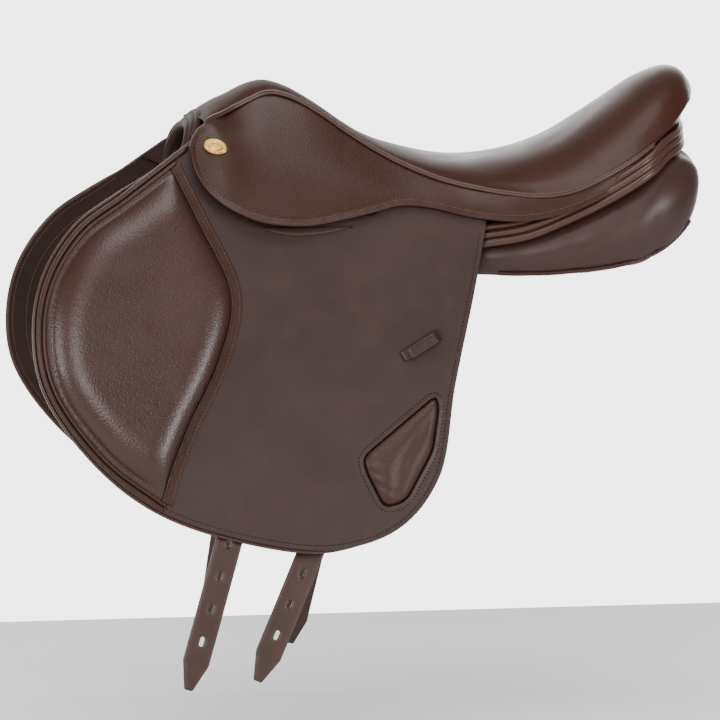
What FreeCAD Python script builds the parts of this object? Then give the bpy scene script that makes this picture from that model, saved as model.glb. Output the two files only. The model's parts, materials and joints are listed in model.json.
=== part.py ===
"""An english jumping saddle: tree, seat, panels, skirts, padded flaps, stirrup bars and girth straps.

Millimetres. +X points to the horse's head, +Y to the near (left) side, +Z up. The origin is on the
middle plane, under the deepest part of the seat, level with the edge of the panels that bears on the back.
"""
import FreeCAD, Part
import math
import os

V = FreeCAD.Vector

# ---- driving dimensions ----
LEATHER = 3.5            # skirt and flap leather
SEAT_LEATHER = 2.2
GULLET_HALF = 32.0       # half the clear channel between the panels
TREE_DROP = 32.0         # from the seat's crown down to the top of the tree
TREE_THICK = 13.0
STRAP_WIDTH = 25.0       # 4 mm thick, as their layers below say
KEEPER_TILT = 30.5       # degrees
HOLE_PITCH, HOLE_WIDE, HOLE_LONG = 31.0, 3.8, 9.0
PIPING = 5.5             # across an edge piping
GAP = 0.3                # between layers that lie on each other

# Layers of the flap, measured across from the flap surface: where each starts and ends.
SWEAT_LAYER = (0.0, 2.4)
FLAP_LAYER = (2.7, 6.2)
COVER_LAYER = (6.5, 8.3)
PIPING_LAYER = (6.5, 11.5)
PAD_LAYER = (6.5, 20.0)
BLOCK_LAYER = (2.7, 15.0)
STRAP_LAYERS = {"front": (-9.0, -5.0), "rear": (-20.0, -16.0)}
WEB_LAYERS = {"front": (-14.0, -12.0), "rear": (-24.8, -22.8)}

# Stations along the seat: x, height of the crown, half width at the welt, height of the welt.
SEAT = [
    (-266, 178, 24, 167), (-258, 187, 48, 159), (-245, 191, 68, 147), (-228, 187, 84, 131),
    (-211, 179, 94, 117), (-190, 165, 102, 104), (-160, 146, 108, 88), (-130, 128, 110, 75),
    (-100, 116, 107, 70), (-70, 109, 101, 72), (-40, 106, 94, 77), (-10, 108, 87, 84),
    (20, 114, 80, 95), (50, 123, 72, 110), (80, 139, 63, 129), (108, 158, 54, 149),
    (135, 173, 47, 164), (155, 178, 44, 168), (175, 173, 47, 161), (190, 165, 52, 154),
    (203, 157, 58, 148),
]
# The skirt's lower edge, from the back round to the front top corner: x, z.
SKIRT_HEM = [
    (-209, 110), (-195, 95), (-168, 73), (-141, 59), (-113, 50), (-85, 45), (-60, 45), (-28, 49),
    (10, 58), (39, 60), (66, 54), (100, 47), (125, 43), (150, 43), (175, 47), (197, 56),
    (214, 67), (226, 80), (235, 100), (236, 120), (229, 133), (220, 139),
]
# Sections of the skirt's outer face: x, then (y, z) near its top, where it bends and near its hem.
SKIRT = [
    (-214, (97, 113), (99, 108), (101, 103)), (-190, (105.7, 99.4), (108, 92), (109.5, 84)),
    (-160, (111.7, 83.4), (113.5, 74), (115.5, 64)), (-120, (112.7, 68.2), (115, 60), (117, 50)),
    (-80, (107.5, 66.8), (112, 56), (115.5, 44)), (-40, (97.7, 72.4), (105, 60), (111, 46)),
    (0, (88.4, 83), (99, 70), (109, 54)), (40, (78.4, 100), (105.5, 64.5), (110, 55)),
    (80, (66.7, 124.4), (98.9, 81.7), (115, 50)), (120, (54.3, 152), (91.8, 99), (122, 42)),
    (160, (48.1, 163), (84.6, 116.3), (125, 42)), (200, (60.4, 145), (77.4, 133.5), (118, 58)),
    (222, (70, 148), (74.5, 143), (108, 74)), (245, (80, 138), (86, 126), (103, 90)),
]
# The flap's free edge from its front top corner round to its back top corner: x, z.
FLAP_EDGE = [
    (235, 122), (302, 74), (346, 43), (377, -2), (388, -52), (380, -107), (334, -173),
    (280, -215), (202, -243), (116, -254), (54, -235), (15, -190), (-5, -106), (-29, -20), (-45, 42),
]
# The padded knee roll's back edge, from its top to its lower tip.
KNEE_EDGE = [(256, 98), (231, 44), (207, -10), (206, -36), (223, -86), (251, -138), (270, -182), (278, -207)]
# The window over the calf block, a kite with rounded corners.
WINDOW = [(15, -115), (87, -170), (85, -183), (69, -217), (48, -211), (20, -165), (12, -124)]

FLAP_HINGE = (V(235, 81, 100), V(-45, 111, 25))
SKIRT_HINGE = (V(222, 73.5, 143), V(32, 107.5, 61))
BAR_X = (74.0, 160.0)
BAR_Z = (54.0, 70.0)
BAR_Y = (88.0, 95.0)
PLATE_Y = (70.0, 74.0)
STRAPS = {
    # name: (top x, top z, forward lean in degrees on the near side, and on the off side, length)
    "front": (128.9, 24.0, 17.6, 6.8, 423.0),
    "rear": (4.6, 24.0, 25.0, 12.0, 440.0),
}


def interpolate(table, x, column=1):
    """A smooth value from a table whose first column rises."""
    if x <= table[0][0]:
        return table[0][column]
    if x >= table[-1][0]:
        return table[-1][column]
    i = max(k for k in range(len(table) - 1) if table[k][0] <= x)
    x0, x1 = table[i][0], table[i + 1][0]

    def slope(k):
        a, b = max(k - 1, 0), min(k + 1, len(table) - 1)
        return (table[b][column] - table[a][column]) / (table[b][0] - table[a][0])

    h, t = x1 - x0, (x - x0) / (x1 - x0)
    return (
        table[i][column] * (1 + 2 * t) * (1 - t) ** 2
        + slope(i) * h * t * (1 - t) ** 2
        + table[i + 1][column] * t * t * (3 - 2 * t)
        + slope(i + 1) * h * t * t * (t - 1)
    )


def side_y(z):
    """Half width of the flap surface at a height: it leans out and turns in as it goes down."""
    drop = 115.0 - z
    return 72.0 + 0.42 * drop - 0.00025 * drop * drop


def crown(x):
    return interpolate(SEAT, x, 1)


def welt(x):
    """(half width, height) of the seam between the seat and the skirt."""
    return interpolate(SEAT, x, 2), interpolate(SEAT, x, 3)


def seat_section_height(x, y):
    """Height of the seat's surface: a crown that falls off towards the welts."""
    half, low = welt(x)
    share = min(1.0, abs(y) / half)
    return crown(x) - (crown(x) - low) * (0.75 * share**2 + 0.25 * share**5)


def spline(points):
    curve = Part.BSplineCurve()
    curve.interpolate([V(*p) for p in points])
    return curve.toShape()


def closed_spline(points):
    curve = Part.BSplineCurve()
    curve.interpolate([V(*p) for p in points], PeriodicFlag=True)
    return curve.toShape()


def line(a, b):
    return Part.LineSegment(V(*a), V(*b)).toShape()


def loft(wires):
    return Part.makeLoft(wires, True, False)


def strip_wire(x, outer, thick):
    """A closed strip in the plane at x: an outer curve of (y, z) points and the same curve set inwards."""
    inner = []
    for i, (y, z) in enumerate(outer):
        a, b = outer[max(i - 1, 0)], outer[min(i + 1, len(outer) - 1)]
        ty, tz = b[0] - a[0], b[1] - a[1]
        n = math.hypot(ty, tz)
        inner.append((y + thick * tz / n, z - thick * ty / n))
    outer3 = [(x, y, z) for y, z in outer]
    inner3 = [(x, y, z) for y, z in reversed(inner)]
    return Part.Wire([
        spline(outer3), line(outer3[-1], inner3[0]), spline(inner3), line(inner3[-1], outer3[0])
    ])


def slab(layer, top=170.0, bottom=-420.0, back=-140.0, front=460.0):
    """The space between two copies of the flap surface, on the near side."""
    heights = [top + (bottom - top) * i / 6 for i in range(7)]
    inner = [(back, side_y(z) + layer[0], z) for z in heights]
    outer = [(back, side_y(z) + layer[1], z) for z in heights]
    edges = [spline(inner), line(inner[-1], outer[-1]), spline(outer[::-1]), line(outer[0], inner[0])]
    return Part.Face(Part.Wire(edges)).extrude(V(front - back, 0, 0))


def prism(edges):
    """A closed outline in the XZ plane, drawn across the near side."""
    return Part.Face(Part.Wire(Part.__sortEdges__(edges))).extrude(V(0, 320, 0))


def flat(points):
    return [(x, 0, z) for x, z in points]


def outline(smooth, corners=()):
    """Edges of an outline: one smooth stretch, closed by straight lines through the corners."""
    points = flat(smooth)
    rest = [points[-1]] + flat(corners) + [points[0]]
    return [spline(points)] + [line(a, b) for a, b in zip(rest, rest[1:])]


def offset_points(points, distance):
    """The points moved square to the line through them: a positive distance moves them to its right."""
    moved = []
    for i, (x, z) in enumerate(points):
        a, b = points[max(i - 1, 0)], points[min(i + 1, len(points) - 1)]
        tx, tz = b[0] - a[0], b[1] - a[1]
        n = math.hypot(tx, tz)
        moved.append((x + distance * tz / n, z - distance * tx / n))
    return moved


def panel_cut(edges, layer):
    """A piece of leather: an outline cut from a layer of the near flap."""
    return prism(edges).common(slab(layer))


def mirrored(shape):
    return shape.mirror(V(0, 0, 0), V(0, 1, 0))


def single(shape):
    """The largest solid of a result, so that a boolean's crumbs are left behind."""
    return max(shape.Solids, key=lambda s: s.Volume)


def box(x, y, z):
    return Part.makeBox(x[1] - x[0], y[1] - y[0], z[1] - z[0], V(x[0], y[0], z[0]))


# ---- tree ----
def tree_slab(low, high):
    """The space between two depths below the seat's crown, over the whole tree."""
    xs = range(-262, 163, 32)
    top = [(x, -150, crown(x) - low) for x in xs]
    bottom = [(x, -150, crown(x) - high) for x in xs]
    edges = [spline(top), line(top[-1], bottom[-1]), spline(bottom[::-1]), line(bottom[0], top[0])]
    return Part.Face(Part.Wire(edges)).extrude(V(0, 300, 0))


def upright(edges, height=260):
    """A closed outline in plan, drawn straight up."""
    return Part.Face(Part.Wire(Part.__sortEdges__(edges))).extrude(V(0, 0, height))


def tree_plan():
    """The tree from above: two rails, open in the middle, joined by the cantle."""
    outer = [(150, 46, 0), (90, 54, 0), (20, 66, 0), (-60, 78, 0), (-140, 76, 0), (-200, 62, 0), (-232, 36, 0)]
    inner = [(150, 26, 0), (90, 33, 0), (20, 40, 0), (-60, 50, 0), (-120, 52, 0), (-165, 38, 0), (-178, 18, 0)]

    def loop(side, points):
        return [(x, side * y, z) for x, y, z in points]

    return upright([
        spline(loop(1, outer)), spline([(-232, 36, 0), (-242, 0, 0), (-232, -36, 0)]),
        spline(loop(-1, outer)[::-1]), line((150, -46, 0), (150, -26, 0)), spline(loop(-1, inner)),
        spline([(-178, -18, 0), (-182, 0, 0), (-178, 18, 0)]), spline(loop(1, inner)[::-1]),
        line((150, 26, 0), (150, 46, 0)),
    ])


def arch_wire(x, top, half, foot_z, thick):
    """An upside-down U in the plane at x, its legs flaring to the points of the tree."""
    def half_curve(grow):
        return [
            (half + 14 + grow, foot_z), (half + 5 + grow, foot_z + 44),
            (half * 0.72 + grow, top - 20 + grow * 0.8), (0, top + grow),
        ]

    def whole(grow):
        right = half_curve(grow)
        return [(x, y, z) for y, z in right] + [(x, -y, z) for y, z in right[-2::-1]]

    out, ins = whole(thick), whole(0)
    return Part.Wire([spline(out), line(out[-1], ins[-1]), spline(ins[::-1]), line(ins[0], out[0])])


def tree_point(side):
    """The side of the head that runs back to carry the stirrup bar."""
    loop = [V(64, side * y, z) for y, z in ((44, 110), (55, 116), (66.5, 50), (57, 50), (44, 110))]
    point = Part.Face(Part.makePolygon(loop)).extrude(V(106, 0, 0))
    return point.common(tree_slab(TREE_DROP + 3, 150))


def tree():
    """Laminated beech: rails and cantle in one sweep, with the head arch across the front."""
    rails = tree_plan().common(tree_slab(TREE_DROP, TREE_DROP + TREE_THICK))
    head = loft([arch_wire(130, 136, 37, 62, 13), arch_wire(186, 146, 40, 62, 12)])
    whole = rails.fuse([head, tree_point(1), tree_point(-1)])
    return single(whole.removeSplitter())


def head_plate():
    """Steel plate riveted over the front of the head."""
    return loft([arch_wire(186.4, 146.4, 40, 72, 9), arch_wire(189.4, 146.4, 40, 72, 9)])


def pommel_facing():
    """Leather over the front of the head, under the lip of the seat."""
    return loft([arch_wire(189.8, 144.4, 39, 66, 12), arch_wire(193.0, 144.4, 39, 66, 12)])


def tree_spring():
    """A strip of spring steel along one rail."""
    strip = upright([
        spline([(118, 38, 0), (20, 48, 0), (-60, 59, 0), (-140, 58, 0)]), line((-140, 58, 0), (-140, 68, 0)),
        spline([(-140, 68, 0), (-60, 69, 0), (20, 57, 0), (118, 46, 0)]), line((118, 46, 0), (118, 38, 0)),
    ])
    return single(strip.common(tree_slab(TREE_DROP - 1.8, TREE_DROP - GAP)))


def seat_web():
    """One pre-strained web from the head to the cantle."""
    corners = [(112, 3, 0), (112, 22, 0), (-205, 36, 0), (-205, 6, 0), (112, 3, 0)]
    band = upright([line(a, b) for a, b in zip(corners, corners[1:])])
    return single(band.common(tree_slab(TREE_DROP - 3.6, TREE_DROP - 2.2)))


def web_wire(name, x, knee, shoulder):
    """The girth web's strip in the plane at x: over the tree and down each side to the strap."""
    top = crown(x) - TREE_DROP + 3.9
    end = STRAPS[name][1]
    ins = [(side_y(end) + WEB_LAYERS[name][0], end), knee, (shoulder, top)]
    out = [(side_y(end) + WEB_LAYERS[name][1], end), (knee[0] + 2, knee[1]), (shoulder + 2, top + 2)]
    loop = out + [(-y, z) for y, z in out[::-1]] + [(-y, z) for y, z in ins] + ins[::-1]
    return Part.makePolygon([V(x, y, z) for y, z in loop + loop[:1]])


def girth_web(name, back, front, knee, shoulders):
    """A girth web over the tree, hanging down each side to carry the straps."""
    sections = []
    for share in (0.0, 0.5, 1.0):
        x, width = back + share * (front - back), shoulders[0] + share * (shoulders[1] - shoulders[0])
        sections.append(web_wire(name, x, knee, width))
    return loft(sections)


# ---- stirrup bars ----
def stirrup_bar(frame):
    """A forged bar, open at the back: two bosses on the tree, a plate, an arm and the bar itself."""
    plate_z = (BAR_Z[0] - 2, BAR_Z[1] + 4)
    rear = box((BAR_X[0] - 8, BAR_X[0] + 5), (60, PLATE_Y[1]), plate_z)
    front = box((BAR_X[1] - 28, BAR_X[1] + 10), (60, PLATE_Y[1]), plate_z)
    plate = box((BAR_X[0] - 8, BAR_X[1] + 12), PLATE_Y, plate_z)
    arm = box((BAR_X[1] - 1, BAR_X[1] + 12), (PLATE_Y[0], BAR_Y[1]), BAR_Z)
    bar = box(BAR_X, BAR_Y, BAR_Z)
    eye = Part.makeCylinder(1.6, 30, V(BAR_X[0] + 5.5, BAR_Y[0] - 8, BAR_Z[0] + 5), V(0, 1, 0))
    forged = plate.fuse([rear, front, arm, bar]).removeSplitter().cut(eye)
    return single(forged.cut(frame))


def catch_pin():
    """The pin that the safety catch swings on, held in the bar and standing out of it."""
    length = BAR_Y[1] - BAR_Y[0] + 4.6
    return Part.makeCylinder(1.6 - 0.04, length, V(BAR_X[0] + 5.5, BAR_Y[0] + GAP, BAR_Z[0] + 5), V(0, 1, 0))


def safety_catch():
    """A thumb piece on the outside of the bar's open end: turned up, it closes the way off the bar."""
    y = (BAR_Y[1] + GAP, BAR_Y[1] + 3.0)
    centre = V(BAR_X[0] + 5.5, y[0], BAR_Z[0] + 5)
    eye = Part.makeCylinder(4.6, y[1] - y[0], centre, V(0, 1, 0))
    blade = box((BAR_X[0] - 12, BAR_X[0] + 5), y, (centre.z - 4.0, centre.z + 3.0))
    thumb = box((BAR_X[0] - 16, BAR_X[0] - 11), (BAR_Y[0] + 1, y[1]), (centre.z - 4.0, centre.z + 4.0))
    hole = Part.makeCylinder(1.6 + 0.04, 20, V(centre.x, y[0] - 5, centre.z), V(0, 1, 0))
    return single(eye.fuse([blade, thumb]).removeSplitter().cut(hole))


def bar_rivets():
    """The rivets of both stirrup bars, headed on the plate."""
    heads = []
    for x in (BAR_X[0] - 2, BAR_X[1] - 22, BAR_X[1] - 9):
        for z in (BAR_Z[0] + 3, BAR_Z[1] - 1):
            rivet = Part.makeCylinder(4.0, 1.6, V(x, PLATE_Y[1] + GAP, z), V(0, 1, 0))
            heads += [rivet, mirrored(rivet)]
    return Part.makeCompound(heads)


# ---- seat ----
def seat_cover():
    """The seat leather, one skin from the pommel over the cantle's rim."""
    wires = []
    for x, _, half, _ in SEAT:
        ys = [half * k / 4 for k in range(-4, 5)]
        top = [(x, y, seat_section_height(x, y)) for y in ys]
        under = [(x, y * 0.985, seat_section_height(x, y) - SEAT_LEATHER) for y in ys]
        wires.append(Part.Wire([
            spline(top), line(top[-1], under[-1]), spline(under[::-1]), line(under[0], top[0])
        ]))
    return loft(wires)


def under_seat(floor_z, depth, stations):
    """The space from a level floor up to a depth under the seat's surface."""
    wires = []
    for x in stations:
        half = welt(x)[0] * 0.95
        ys = [half * k / 4 for k in range(-4, 5)]
        top = [(x, y, seat_section_height(x, y) - depth) for y in ys]
        ends = [top[-1], (x, half, floor_z), (x, -half, floor_z), top[0]]
        wires.append(Part.Wire([spline(top)] + [line(a, b) for a, b in zip(ends, ends[1:])]))
    return loft(wires)


def seat_foam():
    """The seat's padding: level with the webs below, shaped to the seat above."""
    wires = []
    for x in range(-232, 109, 20):
        half, share = welt(x)[0], 0.86
        while crown(x) - seat_section_height(x, half * share) > 14:
            share -= 0.01
        ys = [half * share * k / 4 for k in range(-4, 5)]
        top = [(x, y, seat_section_height(x, y) - SEAT_LEATHER - 1.6) for y in ys]
        floor = crown(x) - TREE_DROP + 7.8
        ends = [top[-1], (x, ys[-1], floor), (x, ys[0], floor), top[0]]
        wires.append(Part.Wire([spline(top)] + [line(a, b) for a, b in zip(ends, ends[1:])]))
    return loft(wires)


def cantle_facing():
    """Leather round the back of the cantle, from under the seat's rim down to the panels."""
    rim = [(-212, 78, 0), (-228, 66, 0), (-243, 44, 0), (-250, 22, 0), (-252, 0, 0)]
    outer = rim + [(x, -y, z) for x, y, z in rim[-2::-1]]
    inner = [(x + 3.0, y * 0.965, z) for x, y, z in outer]
    wall = upright([
        spline(outer), line(outer[-1], inner[-1]), spline(inner[::-1]), line(inner[0], outer[0])
    ]).translated(V(0, 0, 126))
    space = under_seat(100, SEAT_LEATHER + 2.5, [-262, -258, -252, -245, -236, -228, -218, -208, -196])
    return single(wall.common(space))


def seat_welt():
    """The piping between seat and skirt on the near side."""
    wires = []
    for x, _, half, low in SEAT[4:]:
        circle = Part.Circle(V(x, half + 2.6, low - 1.4), V(1, 0, 0), 2.3)
        wires.append(Part.Wire([circle.toShape()]))
    return loft(wires)


# ---- skirts ----
def skirt_sheet():
    """The whole near skirt as a sheet larger than its outline."""
    wires = []
    for x, top, bend, hem in SKIRT:
        def beyond(a, b, by):
            n = math.hypot(b[0] - a[0], b[1] - a[1])
            return b[0] + (b[0] - a[0]) * by / n, b[1] + (b[1] - a[1]) * by / n

        outer = [beyond(bend, top, 16), top, bend, hem, beyond(bend, hem, 26)]
        wires.append(strip_wire(x, outer, LEATHER))
    return loft(wires)


def skirt_outline():
    """The skirt's outline: the hem below and the seam along the welt above."""
    seam = [(x, low - 5.0) for x, _, _, low in SEAT[4:]] + [(220, 139)]
    seam[0] = SKIRT_HEM[0]
    return [spline(flat(SKIRT_HEM)), spline(flat(seam))]


def hinge_kerf(width):
    """A flat cutter along the skirt's bend line."""
    a, b = SKIRT_HINGE
    along = (a - b).normalize()
    out = V(0, 0.88, 0.47)
    down = out.cross(along).normalize()
    out = along.cross(down).normalize()
    if down.z > 0:
        down = down * -1
    start = b - along * 40
    cutter = Part.makeBox(a.distanceToPoint(b) + 90, 60, width)
    matrix = FreeCAD.Matrix(
        along.x, out.x, down.x, start.x - out.x * 30 - down.x * width / 2,
        along.y, out.y, down.y, start.y - out.y * 30 - down.y * width / 2,
        along.z, out.z, down.z, start.z - out.z * 30 - down.z * width / 2,
        0, 0, 0, 1,
    )
    return cutter.transformGeometry(matrix)


def skirts():
    """(the part sewn to the seat, the lobe that lifts) on the near side."""
    whole = prism(skirt_outline()).common(skirt_sheet())
    pieces = sorted(whole.cut(hinge_kerf(2.4)).Solids, key=lambda s: s.Volume, reverse=True)[:2]
    lobe = min(pieces, key=lambda s: s.CenterOfMass.z - 0.43 * s.CenterOfMass.x)
    fixed = pieces[0] if lobe is pieces[1] else pieces[1]
    return fixed, lobe


def badge():
    """An oval brass plate on the skirt's front corner."""
    centre = V(207, 102.5, 104)
    normal = V(0.10, 0.86, 0.50).normalize()
    plate = Part.makeCylinder(9.0, 1.6, V(0, 0, 0), V(0, 0, 1))
    matrix = FreeCAD.Matrix()
    matrix.scale(1.28, 0.88, 1.0)
    plate = plate.transformGeometry(matrix)
    along = V(-0.93, 0.05, -0.36)
    across = normal.cross(along).normalize()
    along = across.cross(normal).normalize()
    place = FreeCAD.Matrix(
        along.x, across.x, normal.x, centre.x, along.y, across.y, normal.y, centre.y,
        along.z, across.z, normal.z, centre.z, 0, 0, 0, 1,
    )
    return plate.transformGeometry(place)


# ---- panels ----
# x, outer half width at the bottom, outer bottom height, bulge beyond it, top height at the outside.
PANEL = [
    (-252, 62, 52, 4, 96), (-244, 84, 34, 8, 112), (-228, 96, 18, 11, 110), (-200, 101, 6, 12, 88),
    (-165, 102, -2, 11, 66), (-125, 101, -6, 9, 47), (-85, 98, -7, 6, 31), (-45, 93, -6, 3, 24),
    (0, 79, -5, 0, 26), (60, 74, 0, -3, 38), (120, 68, 10, -4, 44), (170, 60, 20, -4, 46), (200, 52, 30, -3, 47),
]


def panel():
    """The near cushion: bears on the back below, thick at the rear and thin under the leg."""
    wires = []
    for x, half, low, bulge, top in PANEL:
        ceiling = crown(x) - TREE_DROP - TREE_THICK - 3 if x < 50 else 47.0
        inner_top = min(ceiling, top + (10 if x < -210 else 28))
        inner_low = low + 26
        if inner_top < inner_low + 12:
            inner_low = inner_top - 12
        mid = (low + top) / 2
        points = [
            (GULLET_HALF + 2, (inner_low + inner_top) / 2), (GULLET_HALF + 6, inner_low),
            ((GULLET_HALF + half) / 2, (inner_low + low) / 2 - 2), (half - 4, low), (half + bulge, mid),
            (half - 5, top), ((GULLET_HALF + half) / 2 - 2, min((top + inner_top) / 2 + 2, inner_top)),
            (GULLET_HALF + 7, inner_top),
        ]
        wires.append(Part.Wire([closed_spline([(x, y, z) for y, z in points])]))
    return loft(wires)


def facing_roll():
    """The rolled leather facing over the top of the rear panel."""
    wires = []
    for x, half, low, bulge, top in PANEL[1:8]:
        circle = Part.Circle(V(x, half + bulge * 0.35 + 5.0, top - 0.5), V(1, 0, 0), 4.4)
        wires.append(Part.Wire([circle.toShape()]))
    return loft(wires)


def panel_piping():
    """The welt sewn into the lower seam of the rear panel."""
    wires = []
    for x, half, low, bulge, top in PANEL[1:8]:
        circle = Part.Circle(V(x, half + 3.2, low - 1.2), V(1, 0, 0), 1.9)
        wires.append(Part.Wire([circle.toShape()]))
    return loft(wires)


# ---- flaps ----
def flap_outline():
    """The flap's edge, cut away at the top to clear the stirrup bar and its leather."""
    return outline(FLAP_EDGE, [(-45, 50), (44, 74), (50, 42), (174, 42), (178, 106)])


def window_prism(inset):
    """The calf block's window, as a solid through the flap."""
    centre_x = sum(p[0] for p in WINDOW) / len(WINDOW)
    centre_z = sum(p[1] for p in WINDOW) / len(WINDOW)
    points = []
    for x, z in WINDOW:
        away = math.hypot(x - centre_x, z - centre_z)
        share = 1 - inset / away
        points.append((centre_x + (x - centre_x) * share, centre_z + (z - centre_z) * share))
    loop = flat(points)
    wire = Part.makePolygon([V(*p) for p in loop + loop[:1]])
    body = Part.Face(wire).extrude(V(0, 320, 0))
    upright = [e for e in body.Edges if abs(e.tangentAt(e.FirstParameter).y) > 0.99]
    return body.makeFillet(4.0, upright)


def flap():
    """The flap, with its window for the calf block."""
    return single(prism(flap_outline()).common(slab(FLAP_LAYER)).cut(window_prism(0.0)))


def sweat_flap():
    """The thin under flap, a little larger than the flap along its front and foot."""
    edge = offset_points(FLAP_EDGE[1:], -3.2)
    return single(panel_cut(outline(edge, [(-36, 36), (66, 36), (172, 36), (236, 92)]), SWEAT_LAYER))


def front_band(start, end):
    """The space along the flap's front edge between two distances in from it."""
    outer, inner = flat(offset_points(FLAP_EDGE[:8], start)), flat(offset_points(FLAP_EDGE[:8], end))
    return prism([spline(outer), line(outer[-1], inner[-1]), spline(inner[::-1]), line(inner[0], outer[0])])


def flap_piping():
    """The rolled edge round the front of the flap."""
    top_corner = box((200, 240), (0, 320), (100, 140))
    return single(front_band(0, PIPING).common(slab(PIPING_LAYER)).cut(top_corner))


def knee_pad():
    """The padded roll in front of the knee, with the flat margin that is sewn down round it."""
    front, back = flat(offset_points(FLAP_EDGE[:8], -3)), flat(KNEE_EDGE[::-1])
    margin = [spline(front), line(front[-1], back[0]), spline(back), line(back[-1], front[0])]
    base = panel_cut(margin, COVER_LAYER).cut(front_band(-9, PIPING + GAP + 0.1))
    crest_front = flat(offset_points([(300, 76)] + FLAP_EDGE[2:7], PIPING + 15))
    crest_back = flat([(281, -185), (262, -142), (236, -90), (219, -38), (219, -10), (240, 38), (262, 74)])
    crest = [
        spline(crest_front), line(crest_front[-1], crest_back[0]), spline(crest_back),
        line(crest_back[-1], crest_front[0]),
    ]
    padding = panel_cut(crest, PAD_LAYER)
    return single(single(base).fuse(padding).cut(box((200, 240), (0, 320), (90, 140))))


def knee_band():
    """The narrow band sewn down behind the knee roll with two rows of stitches."""
    near_edge, far_edge = flat(offset_points(KNEE_EDGE, GAP + 0.2)), flat(offset_points(KNEE_EDGE, 11.0))
    edges = [
        spline(near_edge), line(near_edge[-1], far_edge[-1]), spline(far_edge[::-1]), line(far_edge[0], near_edge[0]),
    ]
    return single(panel_cut(edges, COVER_LAYER).cut(box((200, 262), (0, 320), (92, 140))))


def bar_guard():
    """The patch sewn on the flap under the stirrup bar, where the buckle lies."""
    edges = outline([(172, 41.5), (160, 36), (137, 33), (112, 35), (95, 38.5), (84, 41.5)])
    return single(panel_cut(edges, (6.5, 8.0)))


def calf_block():
    """The foam block behind the calf, showing in the flap's window."""
    return single(window_prism(0.8).common(slab(BLOCK_LAYER)))


def keeper():
    """The stirrup leather's keeper: a strip standing off the flap between its two sewn ends."""
    half, width, foot, rise, thick = 22.0, 13.0, 8.0, 6.4, 2.4
    under = [(-half, 0), (-half + foot, 0), (-half + foot + 3, rise), (half - foot - 3, rise), (half - foot, 0), (half, 0)]
    over = [(half, thick), (half - foot, thick + 0.6), (half - foot - 2, rise + thick),
            (-half + foot + 2, rise + thick), (-half + foot, thick + 0.6), (-half, thick)]
    loop = [V(along, up, -width / 2) for along, up in under + over]
    strip = Part.Face(Part.makePolygon(loop + loop[:1])).extrude(V(0, 0, width))
    strip = strip.rotated(V(0, 0, 0), V(0, 1, 0), KEEPER_TILT).rotated(V(0, 0, 0), V(1, 0, 0), 19.5)
    centre = V(25.5, 0, -68.0)
    return strip.translated(V(centre.x, side_y(centre.z) + FLAP_LAYER[1] + GAP + 0.9, centre.z))


def girth_strap(name, side):
    """One girth strap, punched for the buckle and cut to a point."""
    x, z, near_lean, off_lean, length = STRAPS[name]
    lean = near_lean if side > 0 else off_lean
    half = STRAP_WIDTH / 2
    loop = [
        Part.Arc(V(half, 0, 0), V(0, 0, half), V(-half, 0, 0)).toShape(),
        line((-half, 0, 0), (-half, 0, -length + 26)), line((-half, 0, -length + 26), (-4, 0, -length)),
        line((-4, 0, -length), (4, 0, -length)), line((4, 0, -length), (half, 0, -length + 26)),
        line((half, 0, -length + 26), (half, 0, 0)),
    ]
    body = Part.Face(Part.Wire(loop)).extrude(V(0, 320, 0))
    for k in range(6):
        z_hole = -length + 46 + HOLE_PITCH * k
        slot = box((-HOLE_WIDE / 2, HOLE_WIDE / 2), (0, 320),
                   (z_hole - HOLE_LONG / 2, z_hole + HOLE_LONG / 2))
        body = body.cut(slot)
    body = body.rotated(V(0, 0, 0), V(0, 1, 0), -lean).translated(V(x, 0, z))
    strap = single(body.common(slab(STRAP_LAYERS[name])))
    return strap if side > 0 else mirrored(strap)


# ---- assembly ----
def build():
    frame = tree()
    nodes = {
        "tree": frame, "head_plate": head_plate(), "pommel_facing": pommel_facing(), "bar_rivets": bar_rivets(),
        "girth_web_front": girth_web("front", 84, 128, (67.2, 50), (56.5, 51.5)),
        "girth_web_rear": girth_web("rear", -18, 27, (76, 58), (75, 73)),
        "seat_foam": seat_foam(), "seat_cover": seat_cover(), "cantle_facing": cantle_facing(),
    }
    skirt_top, skirt_lobe = skirts()
    paired = {
        "tree_spring": tree_spring(), "seat_web": seat_web(), "stirrup_bar": stirrup_bar(frame),
        "catch_pin": catch_pin(), "safety_catch": safety_catch(), "seat_welt": seat_welt(),
        "skirt_top": skirt_top, "skirt_lobe": skirt_lobe, "badge": badge(), "panel": panel(),
        "facing_roll": facing_roll(), "panel_piping": panel_piping(), "flap": flap(),
        "sweat_flap": sweat_flap(), "flap_piping": flap_piping(), "knee_pad": knee_pad(),
        "knee_band": knee_band(), "bar_guard": bar_guard(), "calf_block": calf_block(), "keeper": keeper(),
    }
    for name, shape in paired.items():
        nodes[name + "_near"] = shape
        nodes[name + "_off"] = mirrored(shape)
    for name in STRAPS:
        nodes[f"girth_strap_{name}_near"] = girth_strap(name, 1)
        nodes[f"girth_strap_{name}_off"] = girth_strap(name, -1)
    return nodes


def main():
    os.makedirs("parts", exist_ok=True)
    for name, shape in build().items():
        shape.exportStep(f"parts/{name}.step")
        print(f"{name:26s} valid {shape.isValid()}, {shape.Volume / 1000:8.2f} cc")


main()
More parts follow.
